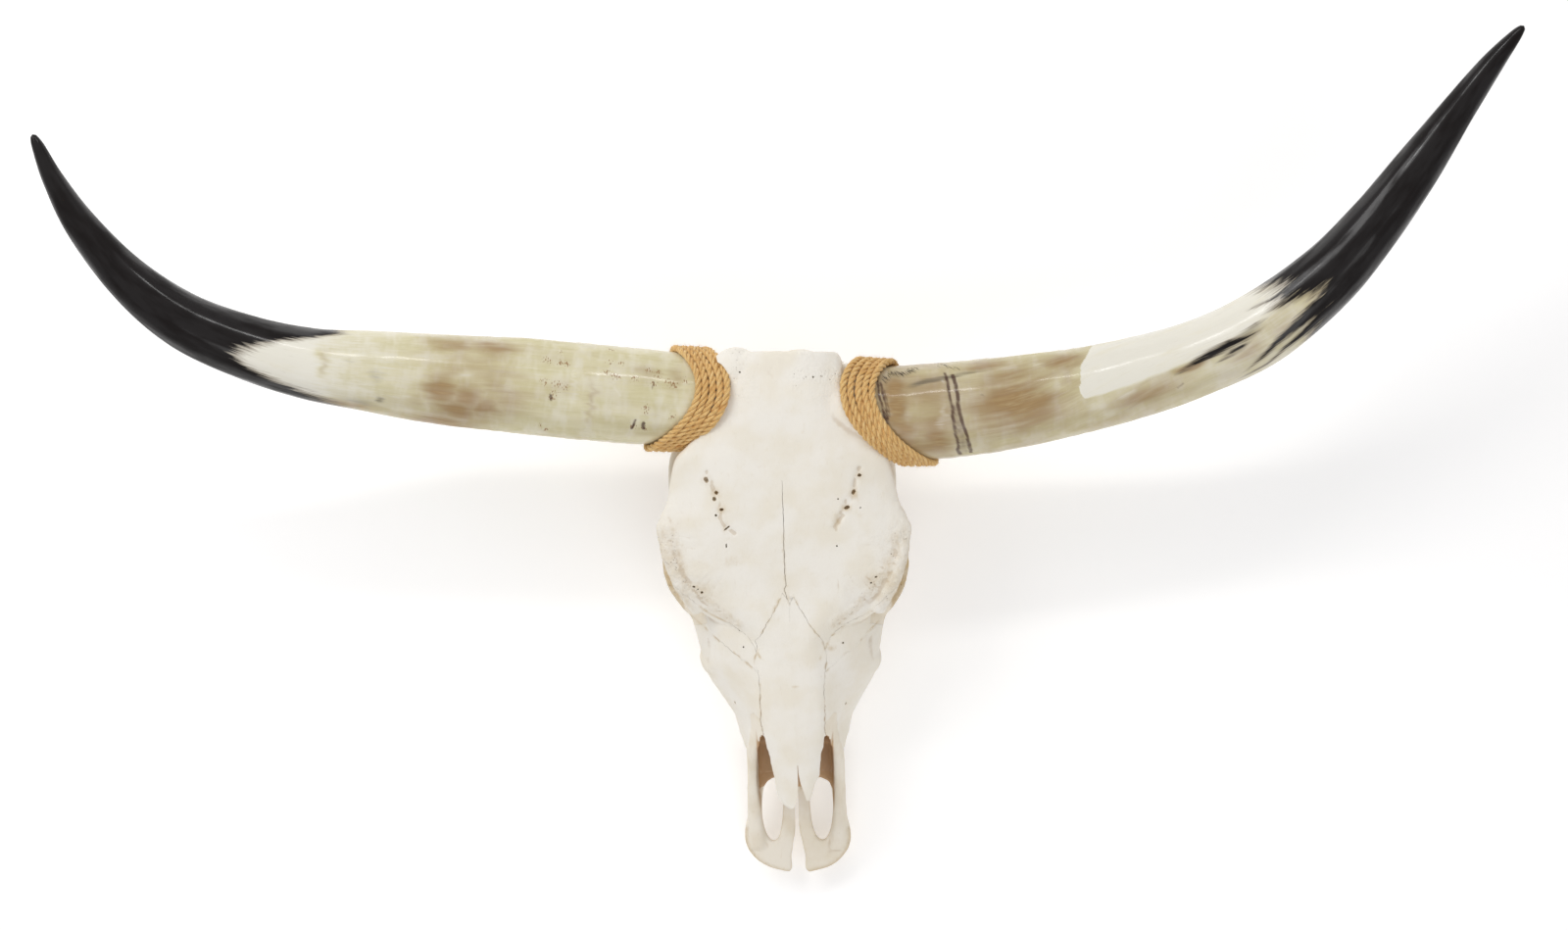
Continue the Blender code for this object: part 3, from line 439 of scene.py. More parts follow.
def brain_section(s):
    """Braincase, from the broad nape to the narrow place between the orbits."""
    wide = along(((6, 60), (22, 76), (44, 70), (80, 55), (130, 50), (165, 40), (240, 42)), s)
    low = along(((6, 74), (22, 50), (44, 42), (130, 44), (200, 40), (240, 34)), s)
    top = along(TOP_HEIGHT, s) - 20
    waist = along(((6, 105), (44, 95), (130, 100), (240, 90)), s)
    return ((0, top), (0.6 * wide, top - 6), (0.92 * wide, 0.4 * top + 0.6 * waist), (wide, waist),
            (0.8 * wide, 0.4 * waist + 0.6 * low), (0.45 * wide, low + 2), (0, low))


def teeth(side):
    """Cheek teeth of one jaw, ground to one level: rounded blocks, waisted between the two lobes."""
    made = []
    front = TOOTH_ROW_FRONT
    angle = circle(48)
    c, n = np.cos(angle), np.sin(angle)
    for length, width in TEETH:
        s = front - length / 2
        x = side * along(TOOTH_LINE, s)
        turn = side * math.atan2(along(TOOTH_LINE, s - 5) - along(TOOTH_LINE, s + 5), 10)
        lobes = 1 - 0.16 * np.exp(-(n / 0.22)**2) * (width > 20)
        across = np.sign(c) * np.abs(c)**0.6 * width / 2 * lobes
        ahead = np.sign(n) * np.abs(n)**0.6 * (length - TOOTH_GAP) / 2
        outline = np.column_stack([x + across * math.cos(turn) - ahead * math.sin(turn),
                                   s + ahead * math.cos(turn) + across * math.sin(turn)])
        made.append(block(outline, -3.0, GUM_HEIGHT + 12))
        front -= length
    return made


def side_forms(side):
    """Forms that stand on one side of the skull: orbit rim, arch, jaw roots and processes."""
    def rod(*stations):
        return bar([(side * x, s, z, r) for x, s, z, r in stations])

    def lump(centre, radii, turn=(0, 0, 0)):
        return knob((side * centre[0], *centre[1:]), radii, (turn[0], side * turn[1], side * turn[2]))

    rim = [rod((86, 250, 128, 10), (94, 238, 137, 9), (104, 222, 147, 8), (112, 200, 152, 8),
               (113, 180, 150, 9), (111, 169, 139, 9), (110, 167, 124, 8), (112.5, 172, 109, 7),
               (115, 186, 98, 6.5), (116, 200, 94, 6.5), (115, 214, 94, 6.8), (109, 230, 96, 8),
               (98, 241, 100, 11), (88, 246, 106, 12))]
    arch = [rod((60, 84, 80, 15), (84, 88, 80, 12), (100, 98, 84, 9.5), (105.5, 116, 88, 8),
                (106, 144, 92, 7.5), (110.5, 168, 96, 7), (115, 188, 97, 6.5)),
            lump((80, 106, 76), (24, 13, 8))]
    cheek = [lump((78, 304, 84), (12, 17, 10), (0, 0, -18)),
             rod((97, 243, 99, 11), (86, 256, 98, 11), (79, 286, 90, 11), (76, 312, 80, 10)),
             lump((52, 256, 50), (16, 24, 24)), lump((58, 244, 84), (26, 28, 26))]
    nape = [lump((22, 20, 55), (12.5, 15, 20), (0, 18, 12)), lump((24, 36, 58), (20, 20, 20)),
            lump((48, 66, 70), (22, 34, 26)),
            rod((52, 42, 86, 18), (50, 40, 54, 15), (47, 38, 28, 11), (45, 37, -4, 8)),
            lump((68, 52, 98), (17, 22, 24)),
            lump((36, 78, 38), (12, 18, 15)),
            rod((50, 84, 60, 11), (70, 82, 72, 9), (82, 80, 78, 7))]
    throat = [rod((26, 150, 66, 12), (24, 185, 48, 9), (22, 206, 34, 7)),
              rod((24, 196, 50, 9), (24, 222, 42, 9), (26, 246, 36, 10), (34, 262, 36, 11)),
              rod((24, 192, 60, 9), (24, 222, 60, 9), (26, 250, 56, 10))]
    return rim + arch + cheek + nape + throat


def jaw_wall(side):
    """Side of the nose from the cheek to the front of the jaw: high behind, a low bar in front."""
    s = np.linspace(352, 500, 40)[:, None]
    outer = along(((352, 53), (366, 53), (388, 50), (430, 50), (467, 51), (500, 50)), s)
    inner = along(((352, 40), (380, 35), (396, 37), (425, 38.5), (450, 37), (467, 36), (500, 32)), s)
    top = along(((352, 84), (366, 92), (380, 96), (400, 84), (430, 62), (467, 43), (500, 31)), s)
    low = along(((352, 30), (400, 30), (440, 25), (467, 20), (500, 17)), s)
    lean = along(((352, 6), (380, 5), (400, 2.5), (467, 1), (500, 0)), s)
    angle = circle(32)[None]
    c, n = np.cos(angle), np.sin(angle)
    up = np.sign(n) * np.abs(n)**0.7
    x = 0.5 * (outer + inner) + np.sign(c) * np.abs(c)**0.8 * 0.5 * (outer - inner) - lean * (up * 0.5 + 0.5)
    z = 0.5 * (top + low) + up * 0.5 * (top - low)
    return skin_over(place(np.stack([side * x, s + 0 * x, z], -1)))


def premaxilla_plate(side):
    """Flat front of the jaw in plan: rounded tips, and a middle strip that runs back to the palate."""
    s = np.linspace(418, SKULL_LENGTH, 90)
    outer = np.column_stack([along(PREMAX_OUTER, s), s])
    inner = np.column_stack([along(PREMAX_INNER, s), s])
    outline = np.vstack([outer, inner[::-1]]) * (side, 1)
    low = PREMAX_Z[0] + 6 * np.clip((480 - outline[:, 1]) / 60, 0, 1)
    high = PREMAX_Z[1] - 5 * np.clip((outline[:, 1] - 480) / 45, 0, 1)
    return block(outline, low, high)


def split():
    """Narrow gap between the two premaxillae, from behind the nasal tips to the front."""
    s = np.linspace(438, 530, 50)
    half = along(((438, 1.4), (452, 2.0), *PREMAX_INNER[3:9], (530, 9)), s)
    edges = [np.column_stack([side * half - 0.4, s])[::side] for side in (1, -1)]
    return block(np.vstack(edges), 8, 45)


def hollows():
    """Openings of the skull as solids: nose, nostrils, palatine fissures, orbits, nape and throat."""
    s = np.linspace(NOSE_BACK, 470, 40)
    top = along(TOP_HEIGHT, s) - NASAL_THICK
    wide = along(((NOSE_BACK, 12), (345, 24), (372, 29), (400, 33), (470, 33)), s)
    roof = np.minimum(wide, along(NASAL_HALF, s) - 2)
    low = along(((NOSE_BACK, 62), (345, 46), (372, 41), (430, 40), (470, 36)), s)
    high = top - np.where(s < NOSE_BACK + 1, 18, 1)

    def section(_):
        return ((0, high), (0.6 * roof, high - 2), (roof, high - 9), (wide, 0.5 * (high + low)),
                (0.9 * wide, low + 8), (0.5 * wide, low), (0, low))

    made = [shell(section, s)] + [block(outline, 46, NOSTRIL_ROOM[1]) for outline in NOSTRILS]
    made += [block(spline(outline + outline[:1], 6)[:-1], *FISSURE_ROOM) for outline in FISSURES]
    for side in (-1, 1):
        made.append(knob((side * ORBIT_CENTRE[0], *ORBIT_CENTRE[1:]), ORBIT_RADII,
                         (0, side * ORBIT_TILT, side * ORBIT_TURN), around=64))
    return made + [knob(*FORAMEN_MAGNUM), knob(*THROAT)]


def settled(obj):
    """Give an object the mesh that its modifiers leave it, and drop them."""
    graph = bpy.context.evaluated_depsgraph_get()
    old = obj.data
    obj.data = bpy.data.meshes.new_from_object(obj.evaluated_get(graph))
    obj.modifiers.clear()
    bpy.data.meshes.remove(old)


def melted(obj, grain, passes):
    """Melt overlapping forms into one skin and soften it."""
    skin = obj.modifiers.new("skin", "REMESH")
    skin.mode = "VOXEL"
    skin.voxel_size = grain * 0.001
    soft = obj.modifiers.new("soft", "SMOOTH")
    soft.factor = 0.5
    soft.iterations = passes
    settled(obj)


def carved(obj, form, operation="DIFFERENCE"):
    """Cut an object by a closed form, or keep what lies inside the form."""
    cutter = add_mesh("cutter", *form)
    cut = obj.modifiers.new("cut", "BOOLEAN")
    cut.operation = operation
    cut.solver = "MANIFOLD"
    cut.object = cutter
    settled(obj)
    bpy.data.meshes.remove(cutter.data)


def horn_axis(stations, away):
    """Centre and radius of the horn or its core at a distance from the midline."""
    x, s, z, r = np.array(stations[:5], float).T
    middle_s, height, radius = (np.interp(away, np.abs(x), v) for v in (s, z, r))
    return middle_s, height, radius + HORN_FLARE * np.clip(FLARE_WITHIN - away, 0, None)


def winding_line(wave, angle):
    """Distance of the winding's middle from the midline, at an angle round the horn from its top."""
    mean, c1, s1, c2 = wave
    return mean + c1 * np.cos(angle) + s1 * np.sin(angle) + c2 * np.cos(2 * angle)


def horn_point(stations, away, angle, radius):
    """Points at an angle round the horn's axis and at a distance from it."""
    side = 1 if stations[0][0] > 0 else -1
    s, z, _ = horn_axis(stations, away)
    return np.stack(np.broadcast_arrays(side * away, s + radius * np.sin(angle),
                                        z + radius * np.cos(angle)), -1)


def saddle_block(stations, wave):
    """Solid beyond the line where sheath meets bone, a saddle under the middle of the rope."""
    angle = circle(SADDLE_AROUND)
    radius = np.array(SADDLE_RINGS)[:, None]
    share = np.minimum(1.0, radius / SADDLE_RINGS[2])
    away = wave[0] + SADDLE_SHIFT + (winding_line(wave, angle) - wave[0]) * share
    rings = horn_point(stations, away, angle + 0 * radius, radius + 0 * angle)
    last = horn_point(stations, np.full(SADDLE_AROUND, SADDLE_REACH), angle, SADDLE_RINGS[-1])
    return skin_over(place(np.concatenate([rings, last[None]]), False))


def rope_bed(stations, wave):
    """Room under and round the winding, as a thick ring cut from the bone.  Its inner wall follows the
    first turn, which climbs by one pitch on its way round."""
    wide = 0.5 * ROPE_PITCH * (ROPE_TURNS + 1) + 0.2
    angle = circle(BED_AROUND)
    climb = ROPE_PITCH * ((angle + math.pi) % (2 * math.pi)) / (2 * math.pi)
    inner = -0.5 * ROPE_PITCH * (ROPE_TURNS + 1) + climb - 0.2
    corners = []
    room = 9.5 + 16 * fade(0.15, 0.7, -np.sin(angle))
    for edge, out in ((inner, 0), (wide, 0), (wide, room), (inner, room)):
        bent = np.arcsin(np.clip(np.sin(angle) * (1 + out / 45.0), -1, 1))      # keeps the walls upright
        away = winding_line(wave, np.where(np.cos(angle) > 0, bent, angle)) + edge
        corners.append(horn_point(stations, away, angle, horn_axis(stations, away)[2] + out - 0.9))
    index = np.arange(4 * BED_AROUND).reshape(4, BED_AROUND)
    ahead = np.roll(index, -1, 1)
    quads = np.stack([index, np.roll(index, -1, 0), np.roll(ahead, -1, 0), ahead], -1).reshape(-1, 4)
    points = place(np.concatenate(corners), False)
    if stations[0][0] < 0:
        quads = quads[:, ::-1]
    return points, quads.ravel(), np.full(len(quads), 4)


def whole_skull():
    """The skull without its parting lines."""
    forms = [shell(section, np.linspace(first, last, count)) for section, first, last, count in (
        (roof_section, 1, 300, 100), (face_section, 236, 390, 60), (nose_section, 330, 453, 62),
        (brain_section, 6, 240, 60), (palate_section, 376, 436, 20))]
    forms.append(bar([(0, 34, 42, 13), (0, 70, 40, 12), (0, 110, 42, 13), (0, 160, 56, 15)]))
    forms += [knob(centre, radii) for centre, radii in (
        ((-6, 15, 184), (42, 14.5, 13)), ((-42, 16, 183), (23, 20, 14)),
        ((20, 18, 184), (26, 19.5, 13.5)), ((0, 9, 146), (10, 8, 26)))]
    for side, stations in ((-1, HORN_OF_RIGHT), (1, HORN_OF_LEFT)):
        forms += side_forms(side) + teeth(side) + [jaw_wall(side), premaxilla_plate(side)]
        forms.append(bar(((side * CORE_START[0], *CORE_START[1:]), *stations[:3]), False, 64))
    skull = add_mesh("skull", *together(forms))
    melted(skull, GRAIN, 3)
    for cutter in hollows():
        carved(skull, cutter)
    melted(skull, GRAIN, 3)
    return skull


def noise(points, cell, seed):
    """Smooth value between -1 and 1: random numbers on a lattice of cubes, blended inside each cube.  Each
    seed gives other numbers."""
    at = np.asarray(points, float) / cell
    base = np.floor(at).astype(np.int64)
    t = at - base
    t = t * t * (3 - 2 * t)
    total = np.zeros(at.shape[:-1])
    for corner in np.ndindex(*(2,) * at.shape[-1]):
        mixed = (base + corner) @ np.array((73856093, 19349663, 83492791))[:at.shape[-1]] + seed * 961748927
        mixed = (mixed ^ (mixed >> 13)) * 1274126177 & 0xFFFFFFFF
        value = ((mixed ^ (mixed >> 16)) & 0xFFFF) / 32767.5 - 1
        total += value * np.prod(np.where(corner, t, 1 - t), axis=-1)
    return total


def off_line(p, line):
    """Distance in plan from (x, s) points to a broken line."""
    best = np.full(len(p), 1e9)
    for a, b in zip(np.array(line[:-1], float), np.array(line[1:], float)):
        d = b - a
        t = np.clip(((p - a) @ d) / (d @ d), 0, 1)
        best = np.minimum(best, np.linalg.norm(p - a - t[:, None] * d, axis=1))
    return best


def points_of(mesh, what="co"):
    """Corner places, or normals, of a mesh as an (n, 3) array."""
    values = np.empty(3 * len(mesh.vertices), np.float32)
    if what == "co":
        mesh.vertices.foreach_get("co", values)
    else:
        mesh.vertex_normals.foreach_get("vector", values)
    return values.reshape(-1, 3).astype(float)


# grooves of the forehead's vessels, as (x, s) lines: right and left
GROOVES = (((-73, 118), (-69, 128), (-64.5, 138), (-61, 150), (-62, 160), (-58, 168), (-48.4, 175.5)),
           ((74.5, 114), (71, 124), (68, 136), (62, 149), (54, 160), (49, 170)))


# rough raised strips in front of the orbits, as (x, s) lines
STRIPS = (((-107, 222), (-84, 236), (-70, 250), (-50, 266)), ((100, 211), (86, 228), (66, 250), (45, 266)))


def off_strip(p):
    """Distance in plan to the nearer of the rough strips."""
    return np.minimum(*(off_line(p[:, :2] + 2.5 * noise(p, 9, 15)[:, None], line) for line in STRIPS))


def relief(p, normal):
    """How far the surface stands out, mm, at skull-frame points: broad swells, grain, the vessel grooves,
    ridges that fan out toward the orbit's rim, the rim's notches, the rough strips and the rough poll."""
    x, s, _ = p.T
    up = fade(0.25, 0.8, normal[:, 2])
    swell = 0.45 * noise(p, 30, 1) + 0.2 * noise(p, 11, 2) + 0.07 * noise(p, 4, 3)
    groove = np.minimum(*(off_line(p[:, :2] + 1.6 * noise(p, 5, 4)[:, None], line) for line in GROOVES))
    groove = -2.0 * np.exp(-(groove / 2.8)**2) * up * (0.7 + 0.6 * noise(p, 8, 5))
    dx, ds = np.abs(x) - 50, s - 192
    fan, reach = np.arctan2(dx, ds), np.hypot(dx, ds)
    wild = fade(16, 40, reach) * fade(-0.5, 0.1, fan) * fade(165, 195, s) * fade(275, 255, s) * up
    lines = noise(np.stack([fan * 34 + 0.35 * noise(p, 12, 9), reach / 7, 0 * s], -1), 2.1, 6)
    ridges = 0.34 * wild * lines * (1 + 0.6 * noise(p, 14, 12))
    rim = fade(96, 108, np.abs(x) + 0.14 * np.abs(s - 178)) * fade(135, 150, s) * fade(262, 245, s)
    notches = rim * (0.4 * noise(p, 6.5, 7) + 0.26 * noise(p, 3.2, 8))
    poll = fade(75, 20, s) * (0.2 * noise(p, 3.4, 10) + 0.16 * noise(p, 6.5, 11))
    strip = fade(8, 2, off_strip(p)) * up * (0.55 + 0.5 * noise(p, 5.0, 13) + 0.45 * noise(p, 2.6, 14))
    return swell + groove + ridges + notches + poll + strip


def weathered(obj):
    """Move each corner along its normal by the relief there."""
    co, normal = points_of(obj.data), points_of(obj.data, "normal")
    p = skull_frame(co)
    ground = fade(1.5, 6, p[:, 2])
    co += normal * (relief(p, normal) * ground * 0.001)[:, None]
    obj.data.vertices.foreach_set("co", co.astype(np.float32).ravel())
    obj.data.update()


UNDERGROUND = ((-250, -250), (250, -250), (250, 750), (-250, 750))

skull = whole_skull()
weathered(skull)
carved(skull, block(UNDERGROUND, -250, 0))
for _, stations, wave in HORNS:
    carved(skull, saddle_block(stations, wave))
    carved(skull, rope_bed(stations, wave))

# small openings: (x, s, half width, half length, turn in degrees), on the forehead, cheeks and poll
HOLES = ((-73.5, 124, 2.2, 3.2, 20), (-64, 136.5, 2.0, 2.2, 0), (-66, 142.4, 1.9, 2.3, 30),
         (-59.7, 152.6, 2.2, 1.7, 0), (-65.2, 158.3, 1.2, 1.2, 0), (-56.5, 187.9, 0.7, 2.3, -8),
         (-55, 170.5, 1.0, 3.4, -52), (-90, 228, 1.5, 1.1, 0), (-82.7, 233.8, 1.6, 1.2, 30),
         (-86.5, 230.4, 0.9, 0.8, 0), (74.2, 120, 1.9, 1.7, 0), (68, 136, 2.0, 3.0, -25),
         (61.5, 151, 3.0, 1.9, 15), (52.7, 142.7, 0.9, 0.8, 0), (74.2, 151.3, 0.8, 0.8, 0),
         (50.4, 188.3, 0.9, 0.7, 0), (87.1, 219, 1.3, 0.9, 0), (82.1, 225, 1.2, 0.9, 0),
         (-58.9, 346.5, 1.5, 2.0, 10), (53.3, 347, 1.4, 1.8, -10), (-37.6, 21, 1.0, 0.8, 0),
         (32.5, 26, 0.8, 0.8, 0), (-45.5, 288, 1.1, 0.9, 0), (52, 284.5, 1.2, 0.8, 30))
HOLE_DEPTH, CHEEK_FROM, CHEEK_LEAN = 6.0, 300.0, 42.0


def surface_height(mesh, spots):
    """Height of the highest part of a mesh near each (x, s) spot."""
    p = skull_frame(points_of(mesh))
    return np.array([p[np.hypot(*(p[:, :2] - spot).T) < 1.6, 2].max() for spot in spots])


def drilled(obj):
    """Cut the small openings as steep ellipsoids from the surface down; those of the cheek lean."""
    tops = surface_height(obj.data, [hole[:2] for hole in HOLES])
    points, corners, sizes = together([
        knob((x, s, top), (wide, long, HOLE_DEPTH),
             (0, math.copysign(CHEEK_LEAN, x) * (s > CHEEK_FROM), turn), around=20)
        for (x, s, wide, long, turn), top in zip(HOLES, tops)])
    ragged = np.stack([noise(points * 1000, 1.9, 60 + k) for k in range(3)], -1)
    carved(obj, (points + ragged * (0.0006, 0.0006, 0), corners, sizes))


carved(skull, block(NASAL_TIPS, *NOSTRIL_ROOM))
carved(skull, split())
drilled(skull)

# ---- Nasal bones --------------------------------------------------------------------------
# Two arched plates that roof the nose and end in free tips.  Each is a thin bone set in a
# jagged suture; between their upper ends a spike of the forehead reaches down.

# mean width of the gaps between the bones, and the share by which they vary
NASAL_GAP, FRONT_GAP, CHEEK_GAP, GAP_SWING = 0.19, 0.14, 0.11, 0.95
MID_GAP = 0.005
STITCH, STITCH_CELL = 0.9, 2.6    # sideways swing of a suture and the length of its teeth
NASAL_SUTURE = {-1: ((235, 4.6), (247.6, 11.2), (262, 19.7), (278.4, 30.1), (282, 33.6), (288, 31.9),
                     (304.6, 36.2), (312.4, 33), (325, 31.8), (360, 32.6), (374, 30.8), (402, 38),
                     (462, 38)),
                1: ((239, 6.6), (247.7, 10.6), (259.3, 16.7), (271.9, 24.6), (283.5, 32.4), (302, 35.2),
                    (309.7, 33.1), (322.4, 31.5), (372, 30.2), (402, 38), (462, 38))}
NASAL_INNER = {-1: ((235, -4.2), (245.7, 2.0), (270, 0.4), (340, 0.6), (406, 1.8), (462, 1.8)),
               1: ((239, 5.6), (245.7, 2.2), (270, 0.4), (340, 0.6), (406, 1.8), (462, 1.8))}
NASAL_DEPTH = ((236, 6.6), (326, 6.6), (345, 10.0), (462, 10.0))


def wander(at, seed, swing=STITCH):
    """Sideways swing of a suture at a distance along it, mm."""
    lattice = np.stack([at, 0 * at], -1)
    fine, broad = noise(lattice, STITCH_CELL, seed), noise(lattice, 3.1 * STITCH_CELL, seed + 1)
    return swing * (0.7 * fine + 0.6 * broad)


def width_of(at, grow, seed):
    """Width of the gap at a distance along a suture, wider and narrower by turns; nothing for the bone
    itself, which has no growth."""
    return grow * (1 + GAP_SWING * noise(np.stack([at, 0 * at], -1), 9.0, seed))


def nasal_region(side, grow):
    """Room of a nasal bone above its underside; larger all round by grow."""
    first, last = NASAL_SUTURE[side][0][0], 462.0
    s = np.r_[first - grow, np.arange(first + 1, last, 1.1)][:, None]
    outer = along(NASAL_SUTURE[side], s) + wander(s, 20 + side) * fade(first, first + 6, s) \
        + width_of(s, grow, 80 + side)
    inner = side * along(NASAL_INNER[side], s) - (grow if grow else -MID_GAP)
    share = np.linspace(0, 1, 7)[None]
    x = inner + (outer - inner) * share
    half = np.maximum(10.0, along(NASAL_HALF, s))
    arch = 4.8 * np.minimum(1, half / 30) * (x / half)**2
    low = along(TOP_HEIGHT, s) - along(NASAL_DEPTH, s) - arch - grow
    under = np.stack([side * x, s + 0 * x, low], -1)
    over = under[:, ::-1].copy()
    over[..., 2] = 200.0
    return skin_over(place(np.concatenate([under, over], 1)))


def triangles_of(mesh):
    """Corner numbers of a mesh's triangles as an (n, 3) array."""
    mesh.calc_loop_triangles()
    values = np.empty(3 * len(mesh.loop_triangles), np.int32)
    mesh.loop_triangles.foreach_get("vertices", values)
    return values.reshape(-1, 3)


def largest_body(points, triangles):
    """The connected body with the most corners; crumbs are left out.  Every corner takes the lowest
    number among its neighbours until nothing changes."""
    a, b = np.concatenate([triangles[:, [0, 1]], triangles[:, [1, 2]]]).T
    label = np.arange(len(points))
    while True:
        low = np.minimum(label[a], label[b])
        fresh = label.copy()
        np.minimum.at(fresh, a, low)
        np.minimum.at(fresh, b, low)
        fresh = fresh[fresh]
        if (fresh == label).all():
            break
        label = fresh
    keep = label == np.bincount(label).argmax()
    return points[keep], (np.cumsum(keep) - 1)[triangles[keep[triangles[:, 0]]]]


def keep_values(mesh, name, values):
    """Store one number for each corner of a mesh, or one vector, as a named attribute."""
    values = np.asarray(values, np.float32)
    kind, field = ("FLOAT", "value") if values.ndim == 1 else ("FLOAT_VECTOR", "vector")
    mesh.attributes.new(name, kind, "POINT").data.foreach_set(field, values.ravel())


def hollowness(mesh, rounds):
    """How far each corner lies below a softened copy of the surface, mm: rounds of moving every corner to
    the mean of its neighbours."""
    co, normal = points_of(mesh), points_of(mesh, "normal")
    edges = np.empty(2 * len(mesh.edges), np.int32)
    mesh.edges.foreach_get("vertices", edges)
    a, b = edges.reshape(-1, 2).T
    count = len(co)
    share = np.bincount(a, minlength=count) + np.bincount(b, minlength=count)
    soft = co.copy()
    for _ in range(rounds):
        soft = np.stack([np.bincount(a, v[b], count) + np.bincount(b, v[a], count) for v in soft.T], 1) \
            / share[:, None]
    return 1000 * np.einsum("ij,ij->i", soft - co, normal)


# lines that carry stain along them, as (x, s): the lacrimal's outline and the forehead's crack
LACRIMAL = ((29, 300), (40, 278), (54, 267), (76, 256), (95, 240), (112, 226), (112, 246), (92, 262),
            (71, 282), (50, 298), (29, 317))
CRACK = ((-0.4, 124.5), (-0.3, 153), (-0.8, 191), (-1.1, 220), (-0.6, 227), (-2.4, 231), (-1.1, 236),
         (0.4, 242.8), (2.2, 247))
# tan patches: (x, s, half width, half length, strength) of vessel holes, scars and the rough strips in
# front of the orbits
TAN_PATCHES = ((-73.5, 124, 6, 6, 0.5), (-64, 137, 6, 6, 0.8), (-60, 152.6, 6, 4.5, 0.75),
               (-56, 170, 5, 7, 0.4), (-52, 203, 16, 7, 0.3), (-84, 232, 12, 9, 0.55),
               (-100, 240, 14, 14, 0.45), (3.3, 327, 3.5, 1.6, 0.6), (74, 120, 5, 5, 0.6),
               (101, 205, 10, 30, 0.45), (68, 137, 5, 6, 0.9), (61, 151.5, 6, 4.5, 0.85),
               (51, 163, 5, 8, 0.6), (74, 158, 4, 4, 0.35), (86, 222, 14, 9, 0.45), (90, 240, 16, 10, 0.55),
               (40.5, 290, 5, 4, 0.5), (1, 235, 5, 8, 0.25), (0, 90, 3, 30, 0.12))


def tints(p, normal):
    """Stain, painted shade and pores, each 0 to 1, at skull-frame points.  The painted shade is brown shade
    painted deep in the nose, in the orbits and under the skull; stain lies along sutures, round holes and on
    rough rims; pores in the rims and the poll."""
    x, s, z = p.T
    wide = np.abs(x)
    patchy = 0.5 + 0.5 * noise(p, 9, 90) + 0.3 * noise(p, 3.5, 91)
    stain = np.zeros(len(p))
    for px, ps, half_x, half_s, strength in TAN_PATCHES:
        off = ((x - px) / half_x)**2 + ((s - ps) / half_s)**2
        stain = np.maximum(stain, strength * np.exp(-off) * (0.55 + 0.7 * patchy))
    up = fade(-0.1, 0.3, normal[:, 2])
    seams = np.full(len(p), 99.0)
    for side in (-1, 1):
        outer = np.abs(side * x - along(NASAL_SUTURE[side], s)) + 99 * (s < 236) + 99 * (s > 372)
        seams = np.minimum(seams, outer)
    near = (s > 215) & (s < 320) & (wide < 115)
    seams[near] = np.minimum(seams[near], off_line(np.column_stack([wide, s])[near], LACRIMAL))
    stain = np.maximum(stain, 0.75 * np.exp(-(seams / 1.5)**2) * fade(0.25, 0.95, patchy) * up)
    crack = off_line(p[:, :2], CRACK)
    stain = np.maximum(stain, 0.45 * np.exp(-(crack / 1.1)**2) * fade(150, 190, s) * up)
    rim = fade(92, 108, wide + 0.14 * np.abs(s - 178)) * fade(150, 185, s) * fade(262, 245, s)
    arch = fade(98, 105, wide) * fade(124, 112, z) * fade(140, 165, s) * fade(262, 250, s)
    strips = fade(9, 2, off_strip(p)) * up
    for share, where in ((0.5, rim), (1.0, arch), (0.4, strips)):
        stain = np.maximum(stain, share * where * (0.45 + 0.65 * patchy))
    lip = off_line(np.column_stack([wide, s]), [(v, u) for u, v in PREMAX_OUTER[4:]])
    lip = np.where(s > 470, lip, 99)
    stain = np.maximum(stain, 0.6 * np.exp(-(lip / 4.0)**2))
    # painted shade: brown deep in the nose, on the walls of the orbits, on faces turned down and low under
    # the face
    depth = along(TOP_HEIGHT, s) - z
    inward = np.maximum(fade(0.3, 0.0, normal[:, 0] * np.sign(x)), fade(18, 26, depth))
    nose = fade(3.5, 8, depth) * fade(39.5, 36.5, wide) * fade(334, 344, s) * fade(34, 38, z) \
        * fade(470, 440, s) * inward
    c, n = math.cos(math.radians(ORBIT_TURN)), math.sin(math.radians(ORBIT_TURN))
    dx, ds, dz = wide - ORBIT_CENTRE[0], s - ORBIT_CENTRE[1], z - ORBIT_CENTRE[2]
    orbit = np.sqrt(((dx * c - ds * n) / ORBIT_RADII[0])**2 + ((dx * n + ds * c) / ORBIT_RADII[1])**2
                    + (dz / ORBIT_RADII[2])**2)
    orbit = fade(1.16, 1.03, orbit) * fade(114, 100, wide)
    # painted shade on faces turned down and low under the face
    under = 0.35 * fade(0.0, -0.7, normal[:, 2]) + 0.25 * fade(40, 20, z) * fade(420, 400, s)
    painted_shade = np.clip(np.maximum(nose, np.maximum(0.85 * orbit, under)) * (0.75 + 0.4 * patchy), 0, 1)
    fine = fade(-0.1, 0.6, noise(p, 12, 92))
    pores = np.maximum(0.9 * rim, fade(70, 25, s) * fade(8, 25, np.abs(x + 6)) * (0.35 + 0.65 * fine))
    roof = fade(56, 84, wide + 6 * fine) * fade(150, 185, s) * fade(270, 248, s)
    pores = np.maximum(pores, np.maximum(0.75 * strips, (0.3 + 0.25 * fine) * roof))
    pores = np.maximum(pores, 0.6 * np.exp(-(lip / 5.0)**2) + 0.15 * fine) * up
    return np.clip(stain, 0, 1), painted_shade, np.clip(pores, 0, 1)


def clouded(tree, colour, ragged, layers):
    """Colour with layers laid over it.  A layer has what it follows, how ragged its edge is, where it begins
    and is full, the most of it and its colour."""
    for value, share, low, high, most, tone in layers:
        if share:
            value = node(tree, "Math", 0, {"operation": "MULTIPLY_ADD"}, i0=ragged, i1=share, i2=value)
        amount = node(tree, "MapRange", 0, {"interpolation_type": "SMOOTHSTEP"}, Value=value,
                      From_Min=low, From_Max=high, To_Max=most)
        colour = node(tree, "Mix", 2, {"data_type": "RGBA"}, i0=amount, i6=colour, i7=linear(tone))
    return colour


PORE_SPACING = 0.0024    # from middle to middle, metres


